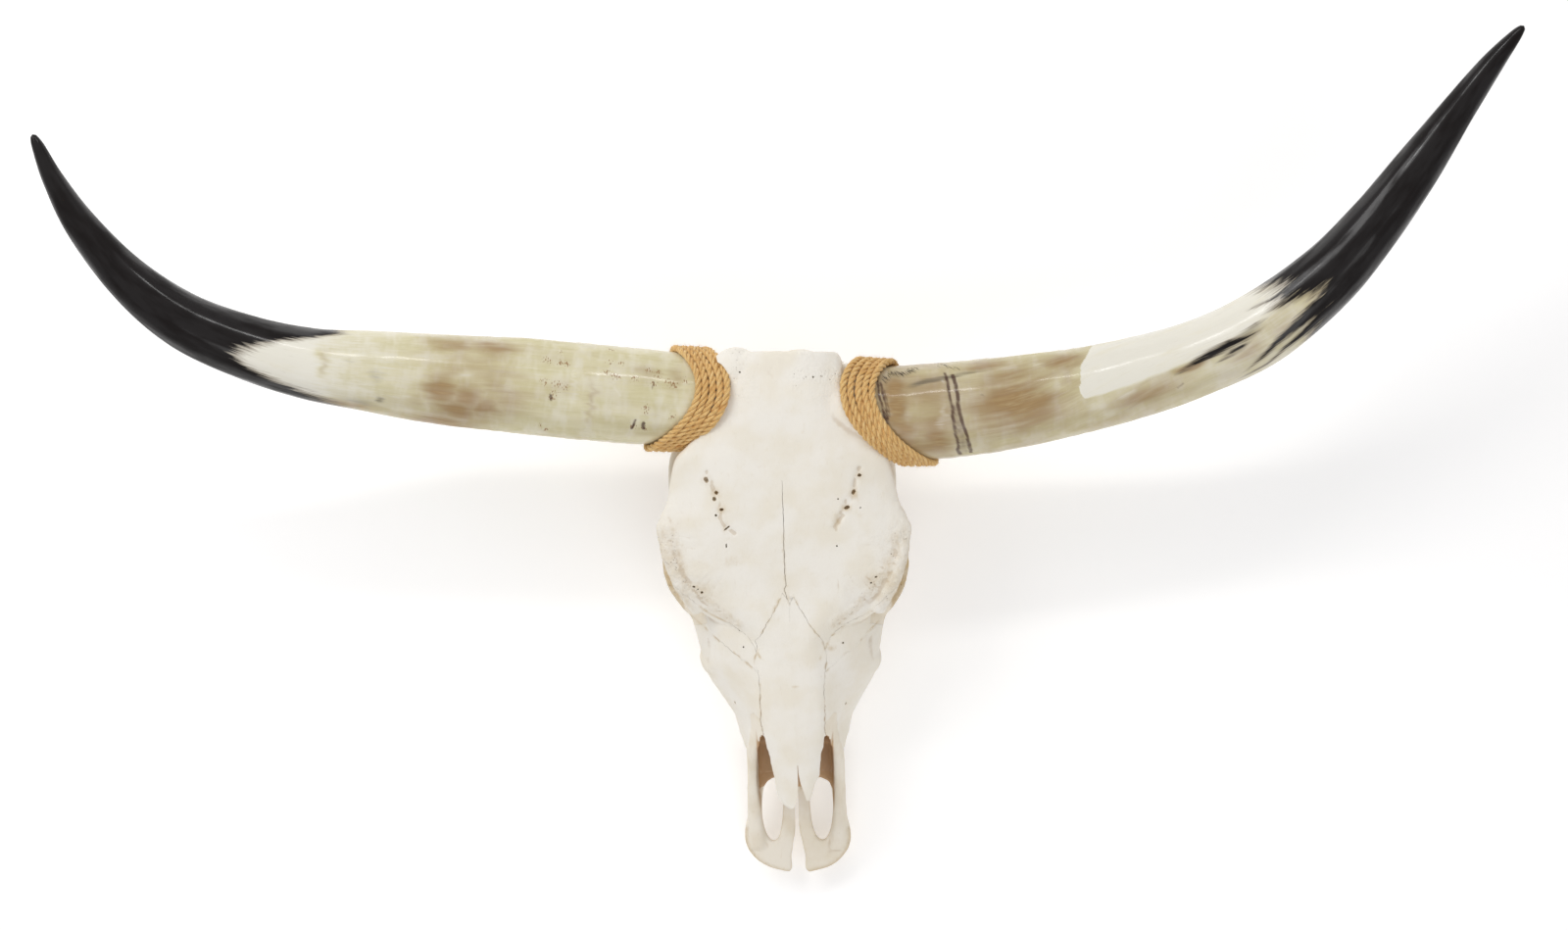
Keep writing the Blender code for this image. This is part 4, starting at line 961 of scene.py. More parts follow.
def bone_material(name, pale, warm, age):
    """Dry bone bleached by sun: chalky, ivory clouded with cream, tan where it is stained, pitted with fine
    pores, with tan shade painted in its hollows and brown shade painted deep in the nose, in the orbits and
    under the skull.  The eye reads a matt, faintly fibrous skin."""
    made, inputs = new_material(name, Roughness=0.62, Specular_IOR_Level=0.35)
    tree = made.node_tree
    spot = node(tree, "TexCoord", "Object")
    stain, painted_shade, pores, painted_hollow_shade = (node(tree, "Attribute", "Fac", {"attribute_name": title})
                                  for title in ("stain", "painted_shade", "pores", "painted_hollow_shade"))
    # clouds of 34 mm, clumps of pores of 5 mm, dust of 1.4 mm, and fibres 3.5 mm by 10 mm; fibres and pores
    # are drawn coarser than real ones, so that they show
    drawn = node(tree, "VectorMath", "Vector", {"operation": "MULTIPLY"}, i0=spot, i1=(1, 0.35, 1))
    broad, clump, dust, grain = (
        node(tree, "TexNoise", "Fac", Vector=at, Scale=1 / size, Detail=detail, Roughness=rough)
        for at, size, detail, rough in ((spot, 0.034, 3, 0.5), (spot, 0.005, 2, 0.5), (spot, 0.0014, 3, 0.6),
                                        (drawn, 0.0035, 5, 0.62)))
    coarse = node(tree, "Math", 0, {"operation": "MULTIPLY_ADD"}, i0=grain, i1=0.45, i2=-0.375)
    ragged = node(tree, "Math", 0, {"operation": "MULTIPLY_ADD"}, i0=dust, i1=0.3, i2=coarse)
    cells = node(tree, "TexVoronoi", "Distance", Vector=spot, Scale=1 / PORE_SPACING)
    room = node(tree, "MapRange", 0, {"interpolation_type": "SMOOTHSTEP"}, Value=clump,
                From_Min=0.42, From_Max=0.68, To_Min=0.06, To_Max=0.31)
    reach = node(tree, "Math", 0, {"operation": "MULTIPLY"}, i0=pores, i1=room)
    pore = node(tree, "Math", 0, {"operation": "SUBTRACT"}, i0=reach, i1=cells)
    # the fourth and fifth layers are painted shade: tan in the hollows, brown deep in the nose, in the
    # orbits and under the skull
    colour = clouded(tree, linear(pale), ragged, (
        (broad, 0, 0.35, 0.70, 0.80, warm), (grain, 0, 0.55, 0.80, 0.22, age),
        (stain, 1.0, 0.05, 1.10, 0.85, "#C0A470"), (painted_hollow_shade, 0, 0.20, 1.40, 0.36, "#B0946C"),
        (painted_shade, 0.8, 0.10, 0.80, 0.85, "#B58A58"), (pore, 0, 0.00, 0.12, 0.60, "#7A5F40")))
    rough = node(tree, "Math", 0, {"operation": "MULTIPLY"}, i0=cells, i1=pores)
    swell = node(tree, "Math", 0, {"operation": "MULTIPLY_ADD"}, i0=dust, i1=0.00020,
                 i2=node(tree, "Math", 0, {"operation": "MULTIPLY"}, i0=grain, i1=0.00030))
    swell = node(tree, "Math", 0, {"operation": "MULTIPLY_ADD"}, i0=rough, i1=0.00075, i2=swell)
    deep = node(tree, "MapRange", 0, {"interpolation_type": "SMOOTHSTEP"}, Value=pore,
                From_Max=0.12, To_Max=0.0006)
    height = node(tree, "Math", 0, {"operation": "SUBTRACT"}, i0=swell, i1=deep)
    skin = node(tree, "Bump", "Normal", Strength=0.75, Distance=1.0, Height=height)
    tree.links.new(colour, inputs["Base Color"])
    tree.links.new(skin, inputs["Normal"])
    return made


DRY_BONE = bone_material("dry_weathered_bone", "#F2EDE2", "#ECE4D2", "#DCCFB4")
STAINED_BONE = bone_material("yellowed_bone", "#EFE7D7", "#E3D7BF", "#CDB68E")
YELLOWED = ("premaxilla", "zygomatic")
MOST_TRIANGLES, SHARP_EDGE = 185000, 55
# painted shade in hollows: rounds of softening, and the depth in mm that counts as one
FINE_HOLLOW, BROAD_HOLLOW = (2, 0.18), (12, 1.4)


def finished_bone(name, whole, region=None):
    """One bone as its own object: what of the skull lies in its region, or what is left of the skull."""
    piece = whole
    if region:
        piece = bpy.data.objects.new(name, whole.data.copy())
        bpy.context.scene.collection.objects.link(piece)
        carved(piece, region, "INTERSECT")
    points, triangles = largest_body(points_of(piece.data), triangles_of(piece.data))
    made = add_mesh(name, points, triangles.ravel(), np.full(len(triangles), 3))
    if len(made.data.polygons) > MOST_TRIANGLES:
        thin = made.modifiers.new("thin", "DECIMATE")
        thin.ratio = MOST_TRIANGLES / len(made.data.polygons)
        settled(made)
    if region:
        bpy.data.meshes.remove(piece.data)
    made.data.set_sharp_from_angle(angle=math.radians(SHARP_EDGE))
    # stain, painted shade and pores for the bone's colour
    stain, painted_shade, pores = tints(skull_frame(points_of(made.data)), points_of(made.data, "normal"))
    # painted shade in hollows: tan where a corner lies below a softened copy of the surface
    painted_hollow_shade = sum(hollowness(made.data, rounds) / depth for rounds, depth in (FINE_HOLLOW, BROAD_HOLLOW))
    for title, values in (("stain", stain), ("painted_shade", painted_shade), ("pores", pores), ("painted_hollow_shade", painted_hollow_shade)):
        keep_values(made.data, title, values)
    yellowed = name.startswith(YELLOWED)
    made.data.materials.append(STAINED_BONE if yellowed else DRY_BONE)
    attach(made, "root")
    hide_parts(name)


def parted(kind, region, gap):
    """Both bones of a kind taken from the skull, with a gap left round them."""
    for side, hand in HANDS:
        finished_bone(f"{kind}_{hand}", skull, region(side, 0.0))
    for side, _ in HANDS:
        carved(skull, region(side, gap))


parted("nasal", nasal_region, NASAL_GAP)

# ---- Premaxillae ---------------------------------------------------------------------------
# The toothless front of the upper jaw: a thin rod up each side of the nostril, and a flat plate
# in front with the palatine fissure beside its middle strip.

# (s, z) of the suture, seen from the side: a rounded point that reaches back beside the nasal bone
PREMAX_LINE = ((365, 125), (361, 117), (354.5, 110), (356, 104), (366, 97), (383, 87), (438, 19))


def front_region(side, grow):
    """Room of a premaxilla: before a jagged line that slants forward down the side of the nose."""
    line = evenly(np.column_stack([PREMAX_LINE, np.zeros(len(PREMAX_LINE))]), 120)[:, :2]
    at = np.arange(120) * 1.2
    line[:, 0] += 0.8 * wander(at, 30 + side) - width_of(at, grow, 84 + side)
    ring = np.vstack([[(line[0, 0], 160)], line, [(line[-1, 0], -5), (545, -5), (545, 160)]])
    inner = -grow if grow else MID_GAP
    rings = [np.column_stack([np.full(len(ring), side * x), ring]) for x in (inner, 90.0)]
    return skin_over(place(np.stack(rings)))


parted("premaxilla", front_region, FRONT_GAP)

# ---- Lacrimals, zygomatics and maxillae ----------------------------------------------------
# The cheek: a small lacrimal in front of each orbit, the zygomatic under it, and the maxilla
# that carries the cheek teeth and half of the palate.

ZYGOMATIC = ((84, 152), (140, 152), (140, 246), (98, 270), (80, 266), (72, 252), (84, 236), (88, 200))
MAXILLA_TOP = ((256, 102), (264, 103), (282, 112), (298, 129), (308, 160), (314, 220))
LACRIMAL_ROOM, ZYGOMATIC_ROOM = (113.0, 190.0), (62.0, 112.5)    # lowest and highest


def plan_region(side, outline, low, high, grow, seed):
    """Upright block over a jagged plan outline, larger all round by grow.  Each edge is split into
    short steps, and every point moves along the outline's own normal by the suture's swing."""
    pts = np.array(outline, float)
    after = np.roll(pts, -1, 0)
    closed = np.vstack([pts, pts[:1]])
    run = length_along(closed)
    at = np.arange(0, run[-1], 1.1)
    fine = np.stack([np.interp(at, run, closed[:, k]) for k in (0, 1)], 1)
    ahead = unit(np.roll(fine, -2, 0) - np.roll(fine, 2, 0))
    area = np.sum(pts[:, 0] * after[:, 1] - after[:, 0] * pts[:, 1])
    outward = np.sign(area) * np.column_stack([ahead[:, 1], -ahead[:, 0]])
    grown = (fine + (width_of(at, grow, seed + 20) + wander(at, seed))[:, None] * outward) * (side, 1)
    return block(grown, low - grow, high + grow)


def cheek_region(side, grow):
    """Room of a maxilla: before the back of the last molar, below the lacrimal's front edge."""
    s = np.r_[MAXILLA_TOP[0][0] - grow, np.arange(257, 314, 1.2), 316, 470]
    high = along(MAXILLA_TOP, s) + width_of(s, grow, 88 + side) + wander(s, 40 + side)
    inner = -grow if grow else MID_GAP
    corners = [(inner, -10 + 0 * s), (130 + 0 * s, -10 + 0 * s), (130 + 0 * s, high), (inner, high)]
    return skin_over(place(np.stack([np.stack([side * (x + 0 * s), s, z], -1) for x, z in corners], 1)))


for kind, outline, room, seed in (("lacrimal", LACRIMAL, LACRIMAL_ROOM, 50),
                                  ("zygomatic", ZYGOMATIC, ZYGOMATIC_ROOM, 60)):
    parted(kind, lambda side, grow: plan_region(side, outline, *room, grow, seed + side), CHEEK_GAP)
parted("maxilla", cheek_region, CHEEK_GAP)

# ---- Cranium -------------------------------------------------------------------------------
# What is left is the fused back of the skull: forehead, poll, braincase, nape and the bony
# horn cores' roots under the rope.  A hairline crack runs down the middle of the forehead.


def crack_blade():
    """Thin upright blade along the crack, narrow at its start."""
    line = evenly(np.column_stack([CRACK, np.zeros(len(CRACK))]), 90)[:, :2]
    line[:, 0] += wander(np.linspace(0, 125, 90), 70, 0.45)
    half = 0.08 + 0.15 * fade(126, 150, line[:, 1]) + 0.05 * noise(line, 6, 71)
    outline = np.vstack([line + half[:, None] * (1, 0), (line - half[:, None] * (1, 0))[::-1]])
    top = along(TOP_HEIGHT, outline[:, 1])
    return block(outline, top - 5, top + 6)


carved(skull, crack_blade())
finished_bone("cranium", skull)
bpy.data.meshes.remove(skull.data)

# ---- Horns ---------------------------------------------------------------------------------
# Each sheath is a cone of keratin slipped over the bony core, rubbed smooth and oiled.  It is
# greenish cream at its base, clouded with brown, off-white in its middle and black at its tip; its
# rim is hidden under the rope.  A few dark hairs of the hide still cling to the animal's left one.

HORN_ROWS, HORN_AROUND = 540, 166
RIM_REACH, ROW_CROWDING = 110.0, 1.12       # how far the rim's wave carries on, and rows closer at the base
FEATHER = {"right": 30.0, "left": 50.0}     # length over which the black frays out, mm
GRAIN_TURN = {"right": 0.0, "left": 1.0}    # radians by which the fibres wind round the horn
# where the black begins: (degrees round the horn from its top toward the back, length along it)
BLACK_FROM = {"right": ((-180, 400), (-110, 385), (-78, 376), (-62, 392), (-50, 420), (-41, 443),
                        (-33, 463), (-19, 477), (0, 472), (21, 452), (39, 427), (54, 402), (62, 386),
                        (78, 382), (110, 385), (180, 400)),
              "left": ((-180, 465), (-110, 458), (-75, 452), (-52, 462), (-40, 480), (-28, 476), (-15, 478),
                       (-5, 490), (3, 484), (9, 466), (22, 450), (29, 458), (42, 464), (60, 455), (90, 440),
                       (130, 455), (180, 465))}
# clouds, each (length along, sine of the angle from the top, half length, half width, strength)
BROWN_CLOUDS = {"right": ((284, -0.3, 18, 16, 0.7), (256, -0.36, 17, 14, 0.7), (238, -0.52, 16, 12, 0.55),
                          (268, -0.62, 24, 14, 0.6), (281, -0.95, 34, 12, 0.7), (281, 0.75, 20, 9, 0.5),
                          (233, 0.76, 26, 9, 0.55), (228, 0.0, 26, 14, 0.35), (212, -0.35, 22, 18, 0.3),
                          (138, -0.3, 4, 22, 0.35), (59, 0.3, 9, 13, 0.35), (84, 0.5, 9, 7, 0.3),
                          (398, 0.1, 7, 14, 0.35), (380, -0.92, 40, 14, 0.6), (306, -0.55, 16, 14, 0.3)),
                "left": ((61, 0.1, 9, 26, 0.6), (178, 0.0, 44, 34, 0.7), (155, -0.35, 26, 16, 0.5),
                         (193, -0.45, 24, 14, 0.45), (150, 0.85, 26, 10, 0.45), (222, 0.75, 24, 12, 0.5),
                         (100, -0.55, 10, 16, 0.35), (230, 0.3, 10, 18, 0.3), (404, -0.36, 16, 7, 0.6),
                         (300, -0.5, 26, 8, 0.4), (445, -0.3, 14, 6, 0.5), (230, -0.8, 20, 10, 0.2),
                         (348, -0.15, 13, 3, 1.0))}
PALE_CLOUDS = {"right": ((155, 0.2, 5, 34, 0.38), (113, 0.1, 3, 26, 0.34), (141, 0.3, 3, 24, 0.26),
                         (190, 0.7, 14, 8, 0.3), (200, 0.3, 18, 8, 0.34), (262, 0.1, 14, 8, 0.34),
                         (300, 0.45, 24, 10, 0.4), (322, -0.5, 12, 12, 0.35)),
               "left": ((105, -0.1, 6, 22, 0.36), (104, 0.6, 3, 6, 0.4), (248, -0.44, 12, 8, 0.42),
                        (262, -0.68, 12, 7, 0.4), (282, -0.36, 12, 6, 0.42), (165, 0.72, 20, 5, 0.36),
                        (200, 0.75, 14, 5, 0.36), (215, -0.05, 16, 10, 0.28), (435, 0.35, 12, 8, 0.42))}
YELLOW_SPOTS = ((399, 0.3, 6, 9, 0.6), (397, -0.08, 6, 10, 0.55), (368, 0.1, 8, 7, 0.3))
GREY_CLOUDS = {"right": ((348, -0.1, 7, 7, 0.5), (338, -0.68, 6, 4, 0.6), (374, 0.2, 4, 5, 0.3),
                         (360, -0.8, 20, 5, 0.45), (335, 0.25, 12, 5, 0.25)),
               "left": ((60, 0.75, 12, 5, 0.4), (380, 0.12, 26, 3, 0.4), (412, 0.1, 18, 4, 0.5),
                        (415, -0.62, 26, 5, 0.4))}
# tapering streaks of black horn, each ((length along, sine, half width), ...)
BLACK_STREAKS = {"right": (),
                 "left": (((330, -0.2, -2), (338, -0.17, 0.6), (352, -0.08, 2.2), (372, 0.0, 3.8),
                           (392, 0.05, 3.8), (408, 0.02, 2.2), (424, 0.02, 0.4), (440, 0.04, -3)),
                          ((370, -0.29, -2), (378, -0.25, 0.6), (390, -0.19, 2.0), (402, -0.15, 1.4),
                           (418, -0.1, -3)),
                          ((376, -0.84, -5), (396, -0.77, 0.2), (412, -0.65, 2.2), (430, -0.5, 3.4),
                           (454, -0.43, 5), (480, -0.42, 8)),
                          ((370, -0.92, -4), (392, -0.9, 0.4), (412, -0.88, 1.4), (433, -0.76, 2.2),
                           (475, -0.7, 6)),
                          ((400, 0.74, -4), (432, 0.62, 0.4), (450, 0.55, 1.4), (470, 0.5, 4)),
                          ((415, 0.38, -4), (446, 0.3, 0.6), (474, 0.24, 4)),
                          ((402, 0.2, -3), (424, 0.2, 0.5), (440, 0.18, -2)))}
# where the white of the animal's left horn begins: (sine of the angle, length along)
WHITE_FROM = ((-0.5, 246), (-0.39, 244), (-0.09, 239), (0.17, 241), (0.39, 243), (0.65, 247), (0.73, 250),
              (0.88, 257), (1.0, 258))
# its lower edge, as (length along, sine of the angle), and how softly it ends there
WHITE_LOWER = ((236, -0.24), (252, -0.22), (290, -0.16), (331, 0.0), (360, 0.12), (400, 0.28), (450, 0.42))
WHITE_SOFT = ((236, 0.05), (300, 0.12), (420, 0.3))
# lines of dark stain: ((length along, sine), ...), half width and strength
CRACKS = {"right": ((((84, -0.67), (85, -0.61), (84.5, -0.57)), 1.7, 1.0),
                    (((96, -0.69), (94, -0.6), (92, -0.51)), 1.0, 0.9),
                    (((175, -0.25), (175, -0.16)), 1.3, 0.9), (((78, 0.17), (77, 0.29)), 1.0, 0.7)),
          "left": ((((110, 0.75), (111, 0.6), (112, 0.4), (112, 0.2), (113.5, 0.0), (113, -0.17),
                     (114, -0.5), (115, -0.75), (117, -0.96)), 1.5, 0.85),
                   (((117, 0.7), (118, 0.6), (120, 0.3), (119, 0.01), (121, -0.2), (122, -0.36), (125, -0.6),
                     (125, -0.78), (127, -0.93)), 1.7, 0.9),
                   (((116, 0.0), (117.5, -0.4), (120, -0.7), (121, -0.9)), 3.6, 0.45),
                   (((38, 0.7), (41, 0.4), (45, 0.08), (49, -0.2)), 1.2, 0.85),
                   (((42, 0.6), (45.5, 0.38), (49, 0.06), (52, -0.28)), 1.2, 0.8),
                   (((47, 0.45), (50, 0.2), (53, -0.1)), 1.0, 0.6), (((331, -0.55), (336, -0.49)), 1.2, 0.5),
                   (((142, 0.24), (146, 0.2)), 0.8, 0.5))}
SMEAR = ((62, 0.46), (91, 0.62), (111, 0.66), (140, 0.74), (168, 0.78))
# worm pits in the base of the animal's right horn: (length along, sine)
PITS = ((169, 0.74), (184, 0.57), (180, 0.55), (169, 0.53), (163, 0.52), (183, 0.11), (174, 0.06),
        (169, 0.07), (163, 0.04), (175, -0.21), (172, -0.12), (122, 0.64), (111, 0.64), (124, 0.42),
        (117, 0.37), (112, 0.36), (96, 0.35), (83, 0.53), (73, 0.51), (77, 0.26), (73, 0.43), (63, 0.32),
        (59, 0.28), (55, 0.25), (46, 0.36), (83, -0.24), (83, -0.32), (57, -0.41), (95, -0.64),
        (84, -0.67), (178, -0.86), (183, -0.79), (122, 0.9))
# rows of clinging hairs, as (length along, sine), and how many
BRISTLES = ((((42, 0.68), (50, 0.84), (64, 0.84), (80, 0.93)), 70),
            (((101, 0.98), (112, 0.92), (121, 0.84)), 16))


def horn_grid(stations, wave):
    """Sheath as a grid of points c(t) + r(t) (cos a n(t) + sin a b(t)): t is the length along the curved
    axis c, r its radius there, a the angle round it from the top toward the back, and n and b are unit
    vectors across it.  The first row of points follows the rim, and further on the rows stand straight.
    Returns points, outward directions, t, a and r, in millimetres."""
    path = evenly(spline(stations, 40), 2400)
    axis, radius = place(path[:, :3], False) * 1000, path[:, 3]
    ahead = unit(np.gradient(axis, axis=0))
    up = unit((0, 0, 1) - ahead * ahead[:, 2:])
    side = math.copysign(1, stations[0][0])
    back = side * np.cross(up, ahead)
    run = length_along(axis)
    total, tip = run[-1], radius[-1]

    def at(t, a):
        centre, n, b = (np.stack([np.interp(t, run, v) for v in table.T], -1) for table in (axis, up, back))
        out = np.cos(a)[..., None] * n + np.sin(a)[..., None] * b
        r = np.interp(t, run, radius) * np.sqrt(1 - np.clip((t - total + tip) / tip, 0, 0.999)**2)
        return centre + r[..., None] * out, out, r

    a = np.linspace(-math.pi, math.pi, HORN_AROUND, endpoint=False)
    start = np.interp(winding_line(wave, -a), side * (axis[:, 0] - X_MIDLINE), run)
    for _ in range(5):
        p, _, _ = at(start, a)
        away = side * (p[:, 0] - X_MIDLINE)
        s, z, _ = horn_axis(stations, away)
        angle = np.arctan2(Y_POLL - p[:, 1] - s, p[:, 2] - z)
        start = start + winding_line(wave, angle) - away
    middle = start.mean()
    row = middle + (total - 0.02 - middle) * np.linspace(0, 1, HORN_ROWS)[:, None]**ROW_CROWDING
    t = row + (start - middle) * fade(middle + RIM_REACH, middle, row)
    a = a + 0 * t
    points, out, r = at(t, a)
    return points, out, t, a, r


def unrolled(t, a, r):
    """Points of the horn as if it were straight."""
    return np.stack([t, r * np.cos(a), r * np.sin(a)], -1)


def along_grain(hand, t, a, r):
    """Points of the straight horn, turned back by its grain, which winds round the animal's left one."""
    return unrolled(t, a - GRAIN_TURN[hand] * fade(150, 370, t), r)


def spots(t, a, r, places):
    """Strength of soft oval spots at points of the horn, 0 to 1."""
    total = np.zeros(t.shape)
    for centre, sine, half_t, half_w, strength in places:
        off = a - math.asin(sine)
        across = r * (off - 2 * math.pi * np.round(off / (2 * math.pi)))
        total = np.maximum(total, strength * np.exp(-((t - centre) / half_t)**2 - (across / half_w)**2))
    return total


def clouds(t, a, r, places):
    """Soft spots with their edges drawn out along the horn."""
    straight = unrolled(t, a, r)
    t = t + 7 * noise(straight / (3, 1, 1), 8, 108) + 4 * noise(straight / (8, 1, 1), 2.5, 109)
    return spots(t, a + 2 * noise(straight / (2, 1, 1), 14, 114) / np.maximum(r, 20), r, places)


def streaks(t, a, r, line, half):
    """1 on a line drawn on the horn and 0 beyond its half width."""
    knots = np.array(line, float)
    near = (t > knots[:, 0].min() - 8 * half) & (t < knots[:, 0].max() + 8 * half) & (np.cos(a) > -0.2)
    amount = np.zeros(t.shape)
    knots[:, 1] = np.arcsin(knots[:, 1]) * np.interp(knots[:, 0], t[:, 0], r[:, 0])
    amount[near] = fade(1.9 * half, 0.4 * half, off_line(np.column_stack([t[near], (a * r)[near]]), knots))
    return amount


def flames(t, a, r, line):
    """How far inside a tapering streak of black horn a point lies, mm.  The line has its own half widths;
    one that is still wide at its end runs on into the black."""
    at, sine, half = np.array(line, float).T
    middle = np.interp(t, at, np.arcsin(sine)) * r
    inside = np.interp(t, at, half, left=-9, right=max(half[-1], 0) or -9) - np.abs(a * r - middle)
    return np.where(np.cos(a) > -0.2, inside, -9)


def horn_fields(hand, t, a, r):
    """Six fields at points of the horn.  Black is how far a point lies inside the black, as a share of the
    length that it frays over, -1 to 1; white, brown, grey, crack and pits run from 0 to 1."""
    straight, sine = along_grain(hand, t, a, r), np.sin(a)
    fibre = noise(straight / (22, 1, 1), 2.6, 100) + 0.6 * noise(straight / (9, 1, 1), 2.2, 101)
    broad = noise(straight / (3, 1, 1), 14, 102) + 0.5 * noise(straight / (2, 1, 1), 6, 103)
    cloudy = noise(straight / (2.5, 1, 1), 22, 115) + 0.6 * noise(straight / (2, 1, 1), 9, 116)
    degrees, edge = np.array(BLACK_FROM[hand], float).T
    reach = t - np.interp(np.degrees(a), degrees, edge) + 3 * broad
    if hand == "right":
        reach = reach / (1 + 1.5 * fade(-0.35, -0.85, sine))
    for line in BLACK_STREAKS[hand]:
        reach = np.maximum(reach, 7 * flames(t, a, r, line))
    black = np.clip(reach / FEATHER[hand], -1, 1)
    top = np.cos(a) > -0.3
    if hand == "right":
        white = 0.26 * fade(265, 330, t + 18 * cloudy) + 0.24 * fade(325, 395, t + 22 * cloudy + 8 * fibre) \
            + 0.36 * fade(385, 425, t + 10 * broad + 4 * fibre)
        white = white * np.where(top, fade(-1.0, -0.75, sine + 0.03 * broad), 0.8)
        white = white * (1 - clouds(t, a, r, YELLOW_SPOTS))
    else:
        lower = np.interp(t, *np.transpose(WHITE_LOWER))
        start = np.interp(sine, *np.transpose(WHITE_FROM))
        start += 2.5 * noise(straight, 7, 104) + 1.5 * noise(straight, 3, 105)
        soft = np.interp(t, *np.transpose(WHITE_SOFT))
        white = fade(0, 2.0, t - start) * np.where(top, fade(-soft, soft, sine + 0.03 * broad - lower), 0.75)
        white = white * fade(500, 430, t - 20 * sine) + 0.35 * fade(300, 380, t) * (1 - fade(460, 500, t))
    pale = clouds(t, a, r, PALE_CLOUDS[hand])
    base = 0.12 if hand == "right" else 0.30 + 0.3 * fade(130, 95, t)
    brown = base + 0.13 * cloudy + 0.10 * broad + clouds(t, a, r, BROWN_CLOUDS[hand]) * (0.95 + 0.25 * fibre)
    if hand == "right":
        brown += 0.22 * fade(180, 240, t) * fade(320, 270, t)
    brown = np.clip(brown * fade(0.75, 0.2, white), 0, 1)
    grey = clouds(t, a, r, GREY_CLOUDS[hand]) * (0.9 + 0.4 * broad)
    pits, crack = np.zeros(t.shape), np.zeros(t.shape)
    if hand == "right":
        pits = spots(t, a, r, [(at, q, 4.4, 4.2, 1.0) for at, q in PITS])
    else:
        smear = streaks(t + 4 * broad, a + 0.03 * broad, r, SMEAR, 2.6) * fade(60, 85, t) * fade(165, 130, t)
        grey = np.maximum(grey, smear * (0.6 + 0.3 * fibre))
    for line, half, strength in CRACKS[hand]:
        crack = np.maximum(crack, strength * streaks(t + 1.1 * noise(straight, 6.0, 106), a, r, line, half))
    crack = crack * (0.85 + 0.25 * noise(straight, 3.0, 107))
    white, grey, crack = (np.clip(v, 0, 1) for v in (np.maximum(white, pale), grey, crack))
    return black, white, brown, grey, crack, pits


def horn_relief(t, a, r, crack):
    """How far the sheath stands out, mm: growth rings round its base, flat scrapes, swells and cracks."""
    straight = unrolled(t, a, r)
    rings = noise(np.stack([t + 2.5 * np.sin(a + 1), 0 * t], -1), 9.0, 110) + 0.5 * noise(
        np.stack([t + 1.5 * np.sin(a), 0 * t], -1), 3.6, 111)
    scrapes = noise(straight / (12, 1, 1), 6.5, 112)
    swell = noise(straight / (2, 1, 1), 26, 113)
    fades = fade(420, 150, t)
    swell = 0.5 * swell * fade(700, 500, t)
    return (0.16 + 0.14 * fades) * rings * fades + 0.14 * scrapes + swell - 0.7 * crack


def on_grid(t, along_it, sine):
    """Row and column of the horn's grid nearest to lengths along it and sines of the angle."""
    column = np.round((np.arcsin(sine) / math.pi + 1) * HORN_AROUND / 2).astype(int) % HORN_AROUND
    return np.abs(t[:, column] - along_it).argmin(0), column


def loose_fibres(root, ahead, out, length, radius, lift, curl, generator):
    """Thin tapering three-sided hairs: from each root one bends away from the surface, root + u length
    ahead + lift u out + curl u^2 aside for u from 0 to 1.  Returns rings, shaped (hairs, 5, 3, 3)."""
    u = np.linspace(0, 1, 5)[None, :, None]
    aside = np.cross(ahead, out)
    swing = generator.uniform(-1, 1, (len(root), 1, 1))
    length, lift = length[:, None, None], lift[:, None, None]
    line = root[:, None] + u * (length * ahead[:, None] + lift * out[:, None]) \
        + curl * swing * u**2 * aside[:, None]
    theta = np.arange(3) * 2 * math.pi / 3
    ring = np.cos(theta)[:, None] * out[:, None, None] + np.sin(theta)[:, None] * aside[:, None, None]
    taper = radius * (1 - 0.75 * u[..., None])
    return line[:, :, None] + taper * ring


def closed_tubes(rings):
    """Many closed tubes at once, from an array (tubes, rows, around, 3)."""
    tubes, rows, around = rings.shape[:3]
    index = np.arange(tubes * rows * around).reshape(tubes, rows, around)
    a, b = index[:, :-1], index[:, 1:]
    quads = np.stack([a, np.roll(a, -1, 2), np.roll(b, -1, 2), b], -1).reshape(-1, 4)
    ends = np.concatenate([index[:, 0, ::-1], index[:, -1]])
    return rings.reshape(-1, 3), np.r_[quads.ravel(), ends.ravel()], \
        np.r_[np.full(len(quads), 4), np.full(len(ends), around)]


def clinging_hairs(points, out, t, generator):
    """Hairs that lie on the horn in rows, each slanting outward and toward the front."""
    roots = np.vstack([evenly(np.column_stack([line, np.zeros(len(line))]), count)[:, :2]
                       for line, count in BRISTLES])
    roots += generator.uniform(-1, 1, roots.shape) * (1.6, 0.03)
    roots[:, 1] = np.clip(roots[:, 1], 0.3, 0.99)
    from_here = on_grid(t, *roots.T)
    root, up = points[from_here], out[from_here]
    ahead = unit(points[on_grid(t, roots[:, 0] + 5.0, roots[:, 1] - 0.1)] - root)
    return loose_fibres(root, ahead, up, generator.uniform(4, 8, len(root)), 0.24,
                        generator.uniform(0.2, 0.7, len(root)), 0.3, generator)


